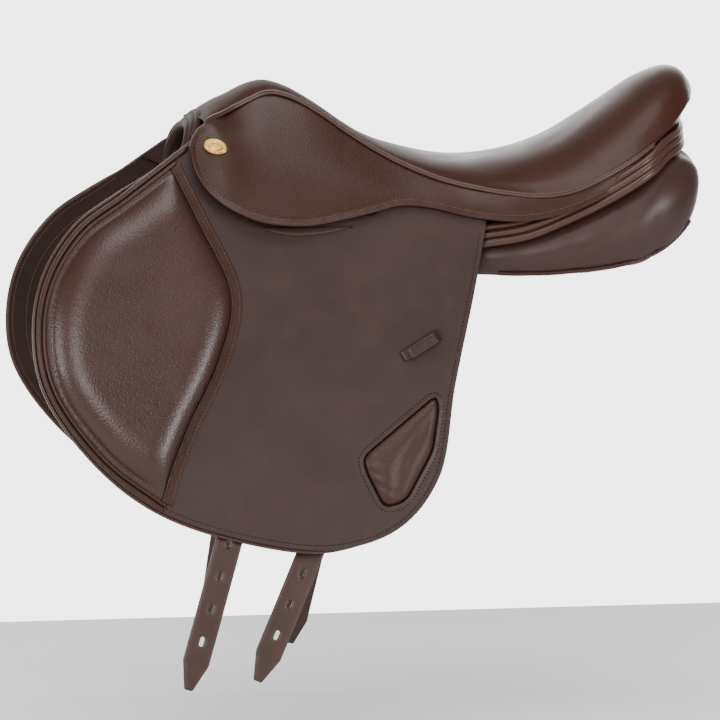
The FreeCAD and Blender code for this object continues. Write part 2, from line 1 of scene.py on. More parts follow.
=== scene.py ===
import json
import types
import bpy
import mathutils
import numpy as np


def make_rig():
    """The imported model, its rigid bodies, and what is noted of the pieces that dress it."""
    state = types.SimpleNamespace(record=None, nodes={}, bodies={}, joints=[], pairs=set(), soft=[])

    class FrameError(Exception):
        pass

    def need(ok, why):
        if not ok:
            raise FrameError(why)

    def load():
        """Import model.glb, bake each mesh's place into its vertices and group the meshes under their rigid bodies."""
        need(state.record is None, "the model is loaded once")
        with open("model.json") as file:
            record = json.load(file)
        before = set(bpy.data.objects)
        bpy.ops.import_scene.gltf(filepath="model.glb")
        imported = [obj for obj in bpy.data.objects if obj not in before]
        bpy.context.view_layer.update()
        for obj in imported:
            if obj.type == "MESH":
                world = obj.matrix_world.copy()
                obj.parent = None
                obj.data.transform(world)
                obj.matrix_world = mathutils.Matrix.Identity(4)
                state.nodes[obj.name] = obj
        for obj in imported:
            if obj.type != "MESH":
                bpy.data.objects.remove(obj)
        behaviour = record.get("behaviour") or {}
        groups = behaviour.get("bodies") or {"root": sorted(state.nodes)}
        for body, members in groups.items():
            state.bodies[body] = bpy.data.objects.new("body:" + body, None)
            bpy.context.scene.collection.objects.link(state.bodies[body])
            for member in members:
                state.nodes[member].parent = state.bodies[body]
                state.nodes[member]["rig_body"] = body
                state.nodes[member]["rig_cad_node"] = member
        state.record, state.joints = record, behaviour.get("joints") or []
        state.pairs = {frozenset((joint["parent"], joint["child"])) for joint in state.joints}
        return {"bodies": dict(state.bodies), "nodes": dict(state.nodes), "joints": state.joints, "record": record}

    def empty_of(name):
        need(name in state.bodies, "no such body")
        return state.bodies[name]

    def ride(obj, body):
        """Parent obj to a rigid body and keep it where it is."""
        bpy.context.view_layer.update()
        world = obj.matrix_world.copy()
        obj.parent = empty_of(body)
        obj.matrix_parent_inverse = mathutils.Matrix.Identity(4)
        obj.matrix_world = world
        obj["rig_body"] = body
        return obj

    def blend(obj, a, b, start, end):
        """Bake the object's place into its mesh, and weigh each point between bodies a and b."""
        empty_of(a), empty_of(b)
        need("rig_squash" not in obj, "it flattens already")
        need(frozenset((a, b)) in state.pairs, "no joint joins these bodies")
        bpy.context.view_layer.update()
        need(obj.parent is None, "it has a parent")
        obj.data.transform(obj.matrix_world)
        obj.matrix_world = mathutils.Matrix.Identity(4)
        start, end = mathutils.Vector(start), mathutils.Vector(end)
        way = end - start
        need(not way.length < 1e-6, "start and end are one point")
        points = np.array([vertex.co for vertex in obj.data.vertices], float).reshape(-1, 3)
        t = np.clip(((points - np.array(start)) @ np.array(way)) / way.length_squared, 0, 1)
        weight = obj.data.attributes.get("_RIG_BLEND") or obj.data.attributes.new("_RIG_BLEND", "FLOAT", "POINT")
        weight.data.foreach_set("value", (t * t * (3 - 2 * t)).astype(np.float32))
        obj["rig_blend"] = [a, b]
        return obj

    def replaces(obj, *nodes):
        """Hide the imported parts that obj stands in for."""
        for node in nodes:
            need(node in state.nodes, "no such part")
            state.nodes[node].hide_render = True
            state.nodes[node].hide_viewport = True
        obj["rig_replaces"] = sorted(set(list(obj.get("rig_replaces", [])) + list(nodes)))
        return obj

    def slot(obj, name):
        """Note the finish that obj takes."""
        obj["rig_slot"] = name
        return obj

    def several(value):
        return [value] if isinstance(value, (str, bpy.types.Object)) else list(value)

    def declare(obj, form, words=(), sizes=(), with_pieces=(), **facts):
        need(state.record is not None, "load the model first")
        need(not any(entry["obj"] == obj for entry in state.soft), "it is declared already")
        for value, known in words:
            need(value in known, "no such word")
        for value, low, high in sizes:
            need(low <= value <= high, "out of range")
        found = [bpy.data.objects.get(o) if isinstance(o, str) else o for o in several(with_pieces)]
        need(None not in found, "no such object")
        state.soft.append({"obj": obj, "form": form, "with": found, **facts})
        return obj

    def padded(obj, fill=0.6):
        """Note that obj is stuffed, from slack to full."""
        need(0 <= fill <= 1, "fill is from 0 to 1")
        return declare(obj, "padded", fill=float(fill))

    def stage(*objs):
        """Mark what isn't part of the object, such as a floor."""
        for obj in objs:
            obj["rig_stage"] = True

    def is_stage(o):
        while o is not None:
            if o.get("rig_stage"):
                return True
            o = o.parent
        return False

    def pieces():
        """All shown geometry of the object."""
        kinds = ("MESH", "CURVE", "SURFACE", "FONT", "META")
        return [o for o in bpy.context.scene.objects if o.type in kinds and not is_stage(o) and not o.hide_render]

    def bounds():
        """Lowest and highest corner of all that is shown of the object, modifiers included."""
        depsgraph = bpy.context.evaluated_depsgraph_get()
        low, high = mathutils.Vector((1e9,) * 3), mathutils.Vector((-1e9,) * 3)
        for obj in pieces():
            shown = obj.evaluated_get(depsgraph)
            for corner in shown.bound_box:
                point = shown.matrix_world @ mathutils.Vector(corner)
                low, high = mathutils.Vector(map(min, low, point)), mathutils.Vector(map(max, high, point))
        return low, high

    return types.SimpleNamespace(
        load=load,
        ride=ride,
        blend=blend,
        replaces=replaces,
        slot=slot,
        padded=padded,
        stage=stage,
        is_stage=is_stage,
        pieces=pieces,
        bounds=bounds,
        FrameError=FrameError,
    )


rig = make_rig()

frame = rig.load()
frame_size = [list(corner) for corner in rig.bounds()]

import json
import math

import bmesh
import bpy
import numpy as np
from bpy.props import FloatProperty, FloatVectorProperty, PointerProperty
from mathutils import Vector, geometry

bl_info = {
    "name": "English Jumping Saddle",
    "version": (1, 0, 0),
    "blender": (4, 5, 0),
    "location": "View3D > Sidebar > Saddle",
    "description": "Cuts, pads, stitches and finishes an English jumping saddle over its packed frame",
    "category": "Object",
}

# Lengths in this file's patterns are millimetres; meshes are written in metres.
MM = 0.001
SIDES = (("near", 1), ("off", -1))

# Stations along the seat: x, height of the crown, half width at the welt, height of the welt.
SEAT = np.array([
    (-266, 178, 24, 167), (-258, 187, 48, 159), (-245, 191, 68, 147), (-228, 187, 84, 131),
    (-211, 179, 94, 117), (-190, 165, 102, 104), (-160, 146, 108, 88), (-130, 128, 110, 75),
    (-100, 116, 107, 70), (-70, 109, 101, 72), (-40, 106, 94, 77), (-10, 108, 87, 84),
    (20, 114, 80, 95), (50, 123, 72, 110), (80, 139, 63, 129), (108, 158, 54, 149),
    (135, 173, 47, 164), (155, 178, 44, 168), (175, 173, 47, 161), (190, 165, 52, 154),
    (203, 159, 60, 148), (212, 153, 66, 145), (220, 145, 73, 141),
], float)
# The skirt's lower edge, from the back round to the front top corner: x, z.
SKIRT_HEM = [
    (-209, 110), (-195, 95), (-168, 73), (-141, 59), (-113, 50), (-85, 45), (-60, 45), (-28, 49),
    (10, 58), (39, 60), (66, 54), (100, 47), (125, 43), (150, 43), (175, 47), (197, 56),
    (214, 67), (226, 80), (235, 100), (236, 120), (229, 133), (220, 139),
]
# Sections of the skirt's outer face: x, then y, z near its top, where it bends and near its hem.
SKIRT = np.array([
    (-214, 97, 113, 99, 108, 101, 103), (-190, 105.7, 99.4, 108, 92, 109.5, 84),
    (-160, 111.7, 83.4, 113.5, 74, 115.5, 64), (-120, 112.7, 68.2, 115, 60, 117, 50),
    (-80, 107.5, 66.8, 112, 56, 115.5, 44), (-40, 97.7, 72.4, 105, 60, 111, 46),
    (0, 88.4, 83, 99, 70, 109, 54), (40, 78.4, 100, 105.5, 64.5, 110, 55),
    (80, 66.7, 124.4, 98.9, 81.7, 115, 50), (120, 54.3, 152, 91.8, 99, 122, 42),
    (160, 48.1, 163, 84.6, 116.3, 125, 42), (200, 60.4, 145, 77.4, 133.5, 118, 58),
    (222, 70, 148, 74.5, 143, 108, 74), (245, 80, 138, 86, 126, 103, 90),
], float)
# The flap's edge from its front top corner round to the back: x, z.
FLAP_EDGE = [
    (235, 122), (302, 74), (346, 43), (377, -2), (388, -52), (380, -107), (334, -173),
    (280, -215), (202, -243), (116, -254), (54, -235), (15, -190), (-5, -106), (-29, -20), (-45, 42),
]
# The back edge of the knee pad, from its top point down, and the opening for the calf block.
KNEE_EDGE = [
    (256, 98), (231, 44), (207, -10), (206, -36), (223, -86), (251, -138), (270, -182), (278, -207),
]
WINDOW = [(15, -115), (87, -170), (85, -183), (69, -217), (48, -211), (20, -165), (12, -124)]
# Sections of a panel: x, outer half width at the foot, height of the foot, bulge, height of the outer top.
PANEL = np.array([
    (-236, 96, 20, 13, 113), (-204, 101, 5, 14, 90),
    (-165, 102, -3, 13, 66), (-125, 101, -7, 10, 47), (-85, 98, -8, 6, 31), (-45, 93, -7, 3, 24),
    (0, 79, -5, 0, 26), (60, 74, 0, -3, 38), (120, 68, 10, -4, 44), (170, 60, 20, -4, 46),
    (200, 52, 30, -3, 47),
], float)
# Points round a panel's section.
PANEL_POINTS = 56
# The folds of the facing round the back of the cantle, on the near side: x, y, z.
FOLDS = [(-222, 96, 103), (-240, 74, 112), (-250, 44, 118), (-255, 0, 121)]
# Girth straps: top x, top z, lean on the near and on the off side, length,
# height off the flap's inner face.
STRAPS = {
    "front": (128.9, 24.0, 17.6, 6.8, 423.0, -9.0),
    "rear": (4.6, 24.0, 25.0, 12.0, 440.0, -20.0),
}
# Which side of the window's outline is outside: its points run clockwise.
WINDOW_OUT = -1
# Height of the floor, in metres: the straps' ends hang clear of it.
FLOOR = -0.462
# The line that a skirt bends on.
SKIRT_HINGE = ((222, 73.5, 143), (32, 107.5, 61))

# Heights off the flap's inner face: back and front of the flap, back of what is sewn on to it.
FLAP_BACK, FLAP_FACE, PAD_BACK = 2.7, 6.2, 6.5


# ---- curves and surfaces ----
def eased(table, x, column):
    """A smooth value from a table whose first column rises, for an array of x."""
    xs, ys = table[:, 0], table[:, column]
    slope = np.gradient(ys, xs)
    x = np.clip(np.asarray(x, float), xs[0], xs[-1])
    i = np.clip(np.searchsorted(xs, x, side="right") - 1, 0, len(xs) - 2)
    h = xs[i + 1] - xs[i]
    t = (x - xs[i]) / h
    return (
        ys[i] * (1 + 2 * t) * (1 - t) ** 2 + slope[i] * h * t * (1 - t) ** 2
        + ys[i + 1] * t * t * (3 - 2 * t) + slope[i + 1] * h * t * t * (t - 1)
    )


def smoothstep(x, low, high):
    t = np.clip((x - low) / (high - low), 0, 1)
    return t * t * (3 - 2 * t)


def spline(points, spacing=2.5, closed=False):
    """Points along a smooth curve through the given ones, evenly spaced."""
    p = np.array(points, float)
    if closed:
        p = np.vstack([p[-2:], p, p[:2]])
    step = np.linalg.norm(np.diff(p, axis=0), axis=1) ** 0.5
    t = np.concatenate([[0], np.cumsum(np.maximum(step, 1e-6))])
    tangent = np.gradient(p, t, axis=0)
    fine = []
    first, last = (2, len(p) - 3) if closed else (0, len(p) - 1)
    for i in range(first, last + (1 if closed else 0)):
        s = np.linspace(0, 1, 24, endpoint=False)[:, None]
        h = t[i + 1] - t[i]
        fine.append(
            p[i] * (1 + 2 * s) * (1 - s) ** 2 + tangent[i] * h * s * (1 - s) ** 2
            + p[i + 1] * s * s * (3 - 2 * s) + tangent[i + 1] * h * s * s * (s - 1)
        )
    fine = np.vstack(fine + ([] if closed else [p[-1:]]))
    return resampled(fine, spacing, closed)


def resampled(points, spacing, closed=False):
    p = np.vstack([points, points[:1]]) if closed else np.asarray(points, float)
    length = np.concatenate([[0], np.cumsum(np.linalg.norm(np.diff(p, axis=0), axis=1))])
    count = max(2, int(round(length[-1] / spacing)))
    s = np.linspace(0, length[-1], count + 1)
    out = np.stack([np.interp(s, length, p[:, k]) for k in range(p.shape[1])], axis=1)
    return out[:-1] if closed else out


def shifted(path, distance, closed=False):
    """A flat path moved sideways: a positive distance moves it to its right."""
    p = np.asarray(path, float)
    if closed:
        d = np.roll(p, -1, axis=0) - np.roll(p, 1, axis=0)
    else:
        d = np.gradient(p, axis=0)
    d /= np.maximum(np.linalg.norm(d, axis=1, keepdims=True), 1e-9)
    return p + distance * np.stack([d[:, 1], -d[:, 0]], axis=1)


def rounded(corners, radius, spacing=2.0):
    """A closed outline whose corners are rounded off."""
    c = np.array(corners, float)
    out = []
    for i in range(len(c)):
        a, b, d = c[i - 1], c[i], c[(i + 1) % len(c)]
        ra = min(radius, 0.45 * np.linalg.norm(a - b))
        rd = min(radius, 0.45 * np.linalg.norm(d - b))
        start = b + (a - b) / np.linalg.norm(a - b) * ra
        end = b + (d - b) / np.linalg.norm(d - b) * rd
        for t in np.linspace(0, 1, 9):
            out.append(start * (1 - t) ** 2 + 2 * b * t * (1 - t) + end * t * t)
    return resampled(np.array(out), spacing, True)


def mirrored(path):
    """A path that ends on the saddle's middle, carried on over the other side."""
    return list(path) + [(x, -y, *rest) for x, y, *rest in path[-2::-1]]


def away(u, v, path, closed=False):
    """Distance from each point to a path."""
    p = np.asarray(path, float)
    if closed:
        p = np.vstack([p, p[:1]])
    a, b = p[:-1], p[1:]
    ab = b - a
    squared = np.maximum((ab**2).sum(1), 1e-9)
    best = np.full(len(u), 1e9)
    for start in range(0, len(a), 64):
        a_, ab_, sq = a[start:start + 64], ab[start:start + 64], squared[start:start + 64]
        du = u[:, None] - a_[:, 0]
        dv = v[:, None] - a_[:, 1]
        t = np.clip((du * ab_[:, 0] + dv * ab_[:, 1]) / sq, 0, 1)
        gap = np.hypot(du - t * ab_[:, 0], dv - t * ab_[:, 1]).min(1)
        best = np.minimum(best, gap)
    return best


def dome(distance, reach, power=0.5):
    """Rises from 0 at an edge, steeply and then gently, to 1."""
    t = 1 - np.clip(distance / reach, 0, 1)
    return (1 - t**2.4) ** power


def inside(u, v, loop):
    p = np.asarray(loop, float)
    q = np.roll(p, -1, axis=0)
    odd = np.zeros(len(u), bool)
    for (x0, y0), (x1, y1) in zip(p, q):
        if y0 == y1:
            continue
        hit = ((y0 > v) != (y1 > v)) & (u < (x1 - x0) * (v - y0) / (y1 - y0) + x0)
        odd ^= hit
    return odd


def side_y(z):
    """Half width of the flap's inner face at a height."""
    drop = 115.0 - z
    return 72.0 + 0.42 * drop - 0.00025 * drop * drop


def seat_z(x, y):
    """Height of the seat at a point in plan."""
    crown, half, low = (eased(SEAT, x, k) for k in (1, 2, 3))
    share = np.minimum(1.0, np.abs(y) / half)
    return crown - (crown - low) * (0.75 * share**2 + 0.25 * share**5)


def skirt_y(x, z):
    """Half width of the skirt's outer face."""
    ya, za, yb, zb, yc, zc = (eased(SKIRT, x, k) for k in range(1, 7))
    upper, lower = (yb - ya) / (zb - za), (yc - yb) / (zc - zb)
    middle = 0.5 * (upper + lower)

    def piece(z0, y0, m0, z1, y1, m1):
        h = z1 - z0
        t = (z - z0) / h
        return (y0 * (1 + 2 * t) * (1 - t) ** 2 + m0 * h * t * (1 - t) ** 2
                + y1 * t * t * (3 - 2 * t) + m1 * h * t * t * (t - 1))

    y = np.where(z > zb, piece(za, ya, upper, zb, yb, middle), piece(zb, yb, middle, zc, yc, lower))
    y = np.where(z > za, ya + upper * (z - za), y)
    return np.where(z < zc, yc + lower * (z - zc), y)


def on_flap(side):
    """Places pattern points (x, z) with a height off the flap's inner face."""
    return lambda u, v, h: np.stack([u, side * (side_y(v) + h), v], axis=1)


def on_skirt(side):
    """Places pattern points (x, z) with a height off the skirt's inner face."""
    return lambda u, v, h: np.stack([u, side * (skirt_y(u, v) - 3.5 + h), v], axis=1)


# ---- mesh building ----
def finished(name, points, faces, material, body, bend=None):
    """An object from points in millimetres, riding on a body or bending at a hinge."""
    mesh = bpy.data.meshes.new(name)
    mesh.from_pydata((np.asarray(points) * MM).tolist(), [], faces)
    bm = bmesh.new()
    bm.from_mesh(mesh)
    bmesh.ops.remove_doubles(bm, verts=bm.verts, dist=1e-6)
    bmesh.ops.recalc_face_normals(bm, faces=bm.faces)
    bm.to_mesh(mesh)
    bm.free()
    mesh.validate()
    mesh.shade_smooth()
    obj = bpy.data.objects.new(name, mesh)
    bpy.context.scene.collection.objects.link(obj)
    mesh.materials.append(material)
    if bend:
        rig.blend(obj, "saddle", body, *bend)
    else:
        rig.ride(obj, body)
    return obj


def skin(rings, around, base=0):
    """Faces between rings of points that follow one another, from the point at base on."""
    return [(a + k, a + (k + 1) % around, a + around + (k + 1) % around, a + around + k)
            for a in range(base, base + (rings - 1) * around, around) for k in range(around)]


def capped(rings, around, base=0):
    """The same, with the first and the last ring closed."""
    end = base + rings * around
    return skin(rings, around, base) + [tuple(range(base, base + around))[::-1], tuple(range(end - around, end))]


def sheet(outline, place, thick, edge, holes=(), step=3.0, relief=None, lift=0.0):
    """A sheet of leather with worked edges: (points, faces). relief raises its face by millimetres."""
    def turned(loop, clockwise):
        x, y = loop[:, 0], loop[:, 1]
        area = (x * np.roll(y, -1) - y * np.roll(x, -1)).sum()
        return loop[::-1] if (area < 0) != clockwise else loop

    loops = [turned(np.asarray(outline), False)] + [turned(np.asarray(h), True) for h in holes]
    depths = edge * np.array([0, 0.06, 0.25, 0.6, 1.0])
    flat, depth, quads, inner_edges = [], [], [], []
    rims, total = [], 0
    for loop in loops:
        n = len(loop)
        for d in depths:
            flat.append(shifted(loop, -d, True))
            depth.append(np.full(n, d))
        quads += skin(len(depths), n, total)
        rims.append((total, n))
        inner_edges.append(list(range(total + 4 * n, total + 5 * n)))
        total += 5 * n
    low, high = loops[0].min(0), loops[0].max(0)
    gu, gv = np.meshgrid(np.arange(low[0], high[0], step), np.arange(low[1], high[1], step * 0.87))
    gu[1::2] += step / 2
    gu, gv = gu.ravel(), gv.ravel()
    keep = inside(gu, gv, loops[0])
    gu, gv = gu[keep], gv[keep]
    for hole in loops[1:]:
        keep = ~inside(gu, gv, hole)
        gu, gv = gu[keep], gv[keep]
    gap = np.min([away(gu, gv, loop, True) for loop in loops], axis=0)
    keep = gap > edge + 0.55 * step
    grid = np.stack([gu[keep], gv[keep]], axis=1)
    flat = np.vstack(flat + [grid])
    depth = np.concatenate(depth + [np.full(len(grid), edge)])
    core = np.concatenate([np.array(e) for e in inner_edges] + [np.arange(total, len(flat))])
    order = {int(g): i for i, g in enumerate(core)}
    rim_edges = [(order[e[i]], order[e[(i + 1) % len(e)]]) for e in inner_edges for i in range(len(e))]
    found = geometry.delaunay_2d_cdt([Vector(p) for p in flat[core]], rim_edges, [], 1, 1e-5)
    origin = [int(core[o[0]]) if o else None for o in found[3]]
    known = [[origin[i] for i in f] for f in found[2]]
    triangles = np.array([f for f in known if None not in f])
    middle = flat[triangles].mean(1)
    solid = np.ones(len(triangles), bool)
    for start, n in rims[1:]:
        solid &= ~inside(middle[:, 0], middle[:, 1], flat[start + 4 * n:start + 5 * n])
    triangles = [tuple(int(i) for i in t) for t in triangles[solid]]
    round_off = np.sqrt(np.clip(1 - (1 - depth / edge) ** 2, 0, 1)) * thick / 2
    u, v = flat[:, 0], flat[:, 1]
    raised = relief(u, v) * smoothstep(depth, 0, edge * 0.6) if relief else 0.0
    front = place(u, v, lift + thick / 2 + round_off + raised)
    back = place(u, v, lift + thick / 2 - round_off)
    faces = quads + triangles
    count = len(flat)
    rim = np.zeros(count, bool)
    for start, n in rims:
        rim[start:start + n] = True
    twin = [i if rim[i] else count + i for i in range(count)]
    behind = [tuple(twin[i] for i in reversed(f)) for f in faces]
    points = np.vstack([front, back])
    used = np.concatenate([np.ones(count, bool), ~rim])
    index = np.cumsum(used) - 1
    renumbered = [tuple(int(index[i]) for i in f) for f in faces + behind]
    return points[used], renumbered


def frames(points):
    """Two steady normals along a path in space."""
    d = np.gradient(points, axis=0)
    d /= np.maximum(np.linalg.norm(d, axis=1, keepdims=True), 1e-9)
    side = np.zeros_like(d)
    current = np.cross(d[0], (0.13, 0.2, 0.97))
    for i, t in enumerate(d):
        current = current - t * (current @ t)
        current = current / np.linalg.norm(current)
        side[i] = current
    return side, np.cross(d, side)


def tube(path, radius, around=10):
    """A round roll along a path, with domed ends: (points, faces)."""
    path = np.asarray(path, float)
    radius = np.broadcast_to(np.asarray(radius, float), (len(path),)).copy()
    d = np.gradient(path, axis=0)
    d /= np.linalg.norm(d, axis=1, keepdims=True)
    cap = np.array([0.98, 0.75, 0.3])[:, None]
    start, end = path[0] - d[0] * radius[0] * cap, path[-1] + d[-1] * radius[-1] * cap[::-1]
    path = np.vstack([start, path, end])
    swell = np.array([0.15, 0.65, 0.95])
    radius = np.concatenate([radius[0] * swell, radius, radius[-1] * swell[::-1]])
    side, up = frames(path)
    angle = np.arange(around)[None, :, None] * 2 * math.pi / around
    ring = np.cos(angle) * side[:, None, :] + np.sin(angle) * up[:, None, :]
    points = (path[:, None, :] + ring * radius[:, None, None]).reshape(-1, 3)
    return points, capped(len(path), around)


def joined(parts):
    """Several (points, faces) as one."""
    points, faces, base = [], [], 0
    for p, f in parts:
        points.append(p)
        faces += [tuple(i + base for i in face) for face in f]
        base += len(p)
    return np.vstack(points), faces


def stitches(rows, place, height, pitch=3.3, slant=10.0, length=2.5, width=0.85):
    """Rows of single stitches lying on a pattern: (points, faces)."""
    around, rings = 6, 6
    ring_at = np.array([-1.0, -0.86, -0.45, 0.45, 0.86, 1.0])
    ring_r = np.array([0.05, 0.55, 0.95, 0.95, 0.55, 0.05])
    angle = np.arange(around) * 2 * math.pi / around
    parts = []
    for row in rows:
        path = resampled(row, pitch)
        if len(path) < 3:
            continue
        centre = 0.5 * (path[:-1] + path[1:])
        u, v = centre[:, 0], centre[:, 1]
        h = np.full(len(u), height)
        p = place(u, v, h)
        pu, pv = place(u + 0.4, v, h) - p, place(u, v + 0.4, h) - p
        normal = np.cross(pu, pv)
        normal /= np.linalg.norm(normal, axis=1, keepdims=True)
        d = path[1:] - path[:-1]
        d /= np.linalg.norm(d, axis=1, keepdims=True)
        along = pu * d[:, :1] + pv * d[:, 1:]
        along /= np.linalg.norm(along, axis=1, keepdims=True)
        across = np.cross(normal, along)
        lean = math.radians(slant)
        leant = along * math.cos(lean) + across * math.sin(lean)
        across = across * math.cos(lean) - along * math.sin(lean)
        ring = (
            leant[:, None, None] * (ring_at * length / 2)[None, :, None, None]
            + (across[:, None, None] * np.cos(angle)[None, None, :, None] * width / 2
               + normal[:, None, None] * np.sin(angle)[None, None, :, None] * width * 0.4)
            * ring_r[None, :, None, None]
        )
        points = (p[:, None, None, :] + ring).reshape(-1, 3)
        faces = []
        for base in range(0, len(points), rings * around):
            faces += capped(rings, around, base)
        parts.append((points, faces))
    return joined(parts)


def bend_line(hinge, side, reach):
    """Start and end of the stretch over which leather bends across a hinge, in metres."""
    a, b = (Vector((p[0], side * p[1], p[2])) for p in hinge)
    axis = (a - b).normalized()
    down = Vector((0, side * 0.4, -1)).normalized()
    down = (down - axis * down.dot(axis)).normalized()
    middle = (a + b) / 2
    return tuple((middle - down * reach) * MM), tuple((middle + down * reach) * MM)


# ---- shaders ----
class Value:
    """A socket with arithmetic."""

    def __init__(self, build, socket):
        self.build, self.socket = build, socket

    def _math(self, kind, a, b):
        return self.build.math(kind, a, b)

    def __add__(self, other):
        return self._math("ADD", self, other)

    __radd__ = __add__

    def __mul__(self, other):
        return self._math("MULTIPLY", self, other)

    __rmul__ = __mul__

    def __sub__(self, other):
        return self._math("SUBTRACT", self, other)

    def __rsub__(self, other):
        return self._math("SUBTRACT", other, self)


class Finish:
    """Builds one material, or a world."""

    def __init__(self, name, kind="materials"):
        self.material = getattr(bpy.data, kind).new(name)
        self.material.use_nodes = True
        self.tree = self.material.node_tree
        self.tree.nodes.clear()
        space = "Object" if kind == "materials" else "Generated"
        self.where = Value(self, self.node("ShaderNodeTexCoord").outputs[space])

    def node(self, kind, settings=None, **sockets):
        """One node: its settings first, then its sockets by name, set or linked."""
        made = self.tree.nodes.new(kind)
        for key, value in (settings or {}).items():
            setattr(made, key, value)
        for key, value in sockets.items():
            socket = made.inputs[int(key[1:])] if key[0] == "_" else made.inputs[key.replace("_", " ")]
            if isinstance(value, Value):
                self.tree.links.new(value.socket, socket)
            else:
                socket.default_value = value
        return made

    def math(self, kind, a, b):
        return Value(self, self.node("ShaderNodeMath", {"operation": kind}, _0=a, _1=b).outputs[0])

    def noise(self, scale, detail=4.0, rough=0.55, where=None):
        sockets = {"Vector": where or self.where, "Scale": scale, "Detail": detail, "Roughness": rough}
        made = self.node("ShaderNodeTexNoise", None, **sockets)
        return Value(self, made.outputs["Fac"])

    def cells(self, scale):
        sockets = {"Vector": self.where, "Scale": scale, "Smoothness": 0.6}
        made = self.node("ShaderNodeTexVoronoi", {"feature": "SMOOTH_F1"}, **sockets)
        return Value(self, made.outputs["Distance"])

    def ramp(self, value, low, high):
        sockets = {"Value": value, "From Min": low, "From Max": high}
        made = self.node("ShaderNodeMapRange", {"interpolation_type": "SMOOTHSTEP"}, **sockets)
        return Value(self, made.outputs["Result"])

    def mix(self, share, a, b):
        """Two colours mixed."""
        made = self.node("ShaderNodeMix", {"data_type": "RGBA"}, _0=share, _6=a, _7=b)
        return Value(self, made.outputs[2])

    def wave(self, direction, scale, distortion):
        sockets = {"Vector": self.where, "Scale": scale, "Distortion": distortion, "Detail": 2.0}
        made = self.node("ShaderNodeTexWave", {"bands_direction": direction}, **sockets)
        return Value(self, made.outputs["Fac"])

    def stretched(self, x, y, z):
        made = self.node("ShaderNodeVectorMath", {"operation": "MULTIPLY"}, _0=self.where, _1=(x, y, z))
        return Value(self, made.outputs[0])

    def bump(self, height, distance, strength=1.0, normal=None):
        sockets = {"Height": height, "Distance": distance, "Strength": strength}
        if normal:
            sockets["Normal"] = normal
        return Value(self, self.node("ShaderNodeBump", None, **sockets).outputs["Normal"])

    def surface(self, **sockets):
        shader = self.node("ShaderNodeBsdfPrincipled", None, **sockets)
        out = self.node("ShaderNodeOutputMaterial")
        self.tree.links.new(shader.outputs[0], out.inputs["Surface"])
        return self.material


def rgba(colour, gain=1.0):
    return tuple(min(1.0, c * gain) for c in colour) + (1.0,)


def leather(name, colour, rough, pebble=0.0, coat=0.0, mottle=0.07, shine=0.35, grain_size=900.0,
            polished_to=None):
    """Dyed hide: cloudy colour, fine pores, an optional pebbled grain, a sheen that varies with handling.

    The saddle's polish ends forward of polished_to, in metres along x.
    """
    f = Finish(name)
    cloud = f.noise(9.0, 5.0, 0.6)
    patch = f.noise(38.0, 4.0, 0.55)
    fibre = f.noise(900.0, 3.0, 0.7)
    tone = f.mix(f.ramp(cloud, 0.32, 0.68), rgba(colour, 1.0 - mottle), rgba(colour, 1.0 + mottle))
    warm = tuple(c * g for c, g in zip(colour, (1.22, 1.0, 0.9)))
    tone = f.mix(f.ramp(patch, 0.45, 0.8) * 0.45, tone, rgba(warm, 1.1))
    tone = f.mix(f.ramp(fibre, 0.35, 0.75) * 0.22, tone, rgba(colour, 0.62))
    fine = f.cells(1150.0)
    normal = f.bump(fine + fibre * 0.6, 0.00006, 0.8)
    if pebble:
        grain = f.cells(grain_size)
        crease = f.ramp(grain, 0.1, 0.55)
        tone = f.mix(crease * 0.5, rgba(colour, 0.8), tone)
        normal = f.bump(1.0 - grain, pebble, 0.9, normal)
    glaze = f.ramp(cloud * 0.6 + patch * 0.4, 0.3, 0.7) * 0.10 + (rough - 0.05)
    if polished_to is not None:
        along = Value(f, f.node("ShaderNodeSeparateXYZ", None, Vector=f.where).outputs["X"])
        unworn = f.ramp(along, polished_to - 0.08, polished_to + 0.04)
        glaze, coat = glaze + unworn * 0.3, (1.0 - unworn) * coat
    return f.surface(
        Base_Color=tone, Roughness=glaze, Normal=normal, Specular_IOR_Level=shine, Coat_Weight=coat,
        Coat_Roughness=0.22,
    )


def thread(name, colour):
    f = Finish(name)
    twist = f.noise(2600.0, 2.0, 0.5)
    tone = f.mix(f.ramp(twist, 0.35, 0.7), rgba(colour, 0.6), rgba(colour, 1.25))
    return f.surface(Base_Color=tone, Roughness=0.62, Normal=f.bump(twist, 0.00008), Specular_IOR_Level=0.2)


def metal(name, colour, rough, brush=True):
    f = Finish(name)
    scratch = f.noise(700.0, 5.0, 0.6, f.stretched(0.12, 1.0, 1.0) if brush else None)
    age = f.noise(120.0, 5.0, 0.6)
    tone = f.mix(f.ramp(age, 0.4, 0.75) * 0.5, rgba(colour), rgba(colour, 0.55))
    return f.surface(
        Base_Color=tone, Metallic=1.0, Roughness=f.ramp(age, 0.3, 0.8) * 0.18 + rough,
        Normal=f.bump(scratch, 0.00003),
    )


def webbing(name, colour):
    f = Finish(name)
    weave = f.wave("X", 420.0, 0.6) * 0.6 + f.wave("Z", 260.0, 0.6) * 0.4
    dirt = f.noise(60.0, 5.0, 0.6)
    tone = f.mix(f.ramp(weave + dirt * 0.4, 0.3, 1.0), rgba(colour, 0.6), rgba(colour, 1.1))
    return f.surface(Base_Color=tone, Roughness=0.85, Normal=f.bump(weave, 0.0004), Sheen_Weight=0.3)


def beech(name, colour):
    f = Finish(name)
    grain = f.noise(60.0, 8.0, 0.65, f.stretched(0.06, 1.0, 1.0))
    lines = f.ramp(f.wave("Z", 110.0, 1.5), 0.75, 0.95)
    tone = f.mix(f.ramp(grain, 0.3, 0.75), rgba(colour, 0.62), rgba(colour, 1.1))
    tone = f.mix(lines * 0.5, tone, rgba(colour, 0.4))
    rough = grain * 0.2 + 0.35
    return f.surface(Base_Color=tone, Roughness=rough, Normal=f.bump(grain, 0.0002), Coat_Weight=0.2)


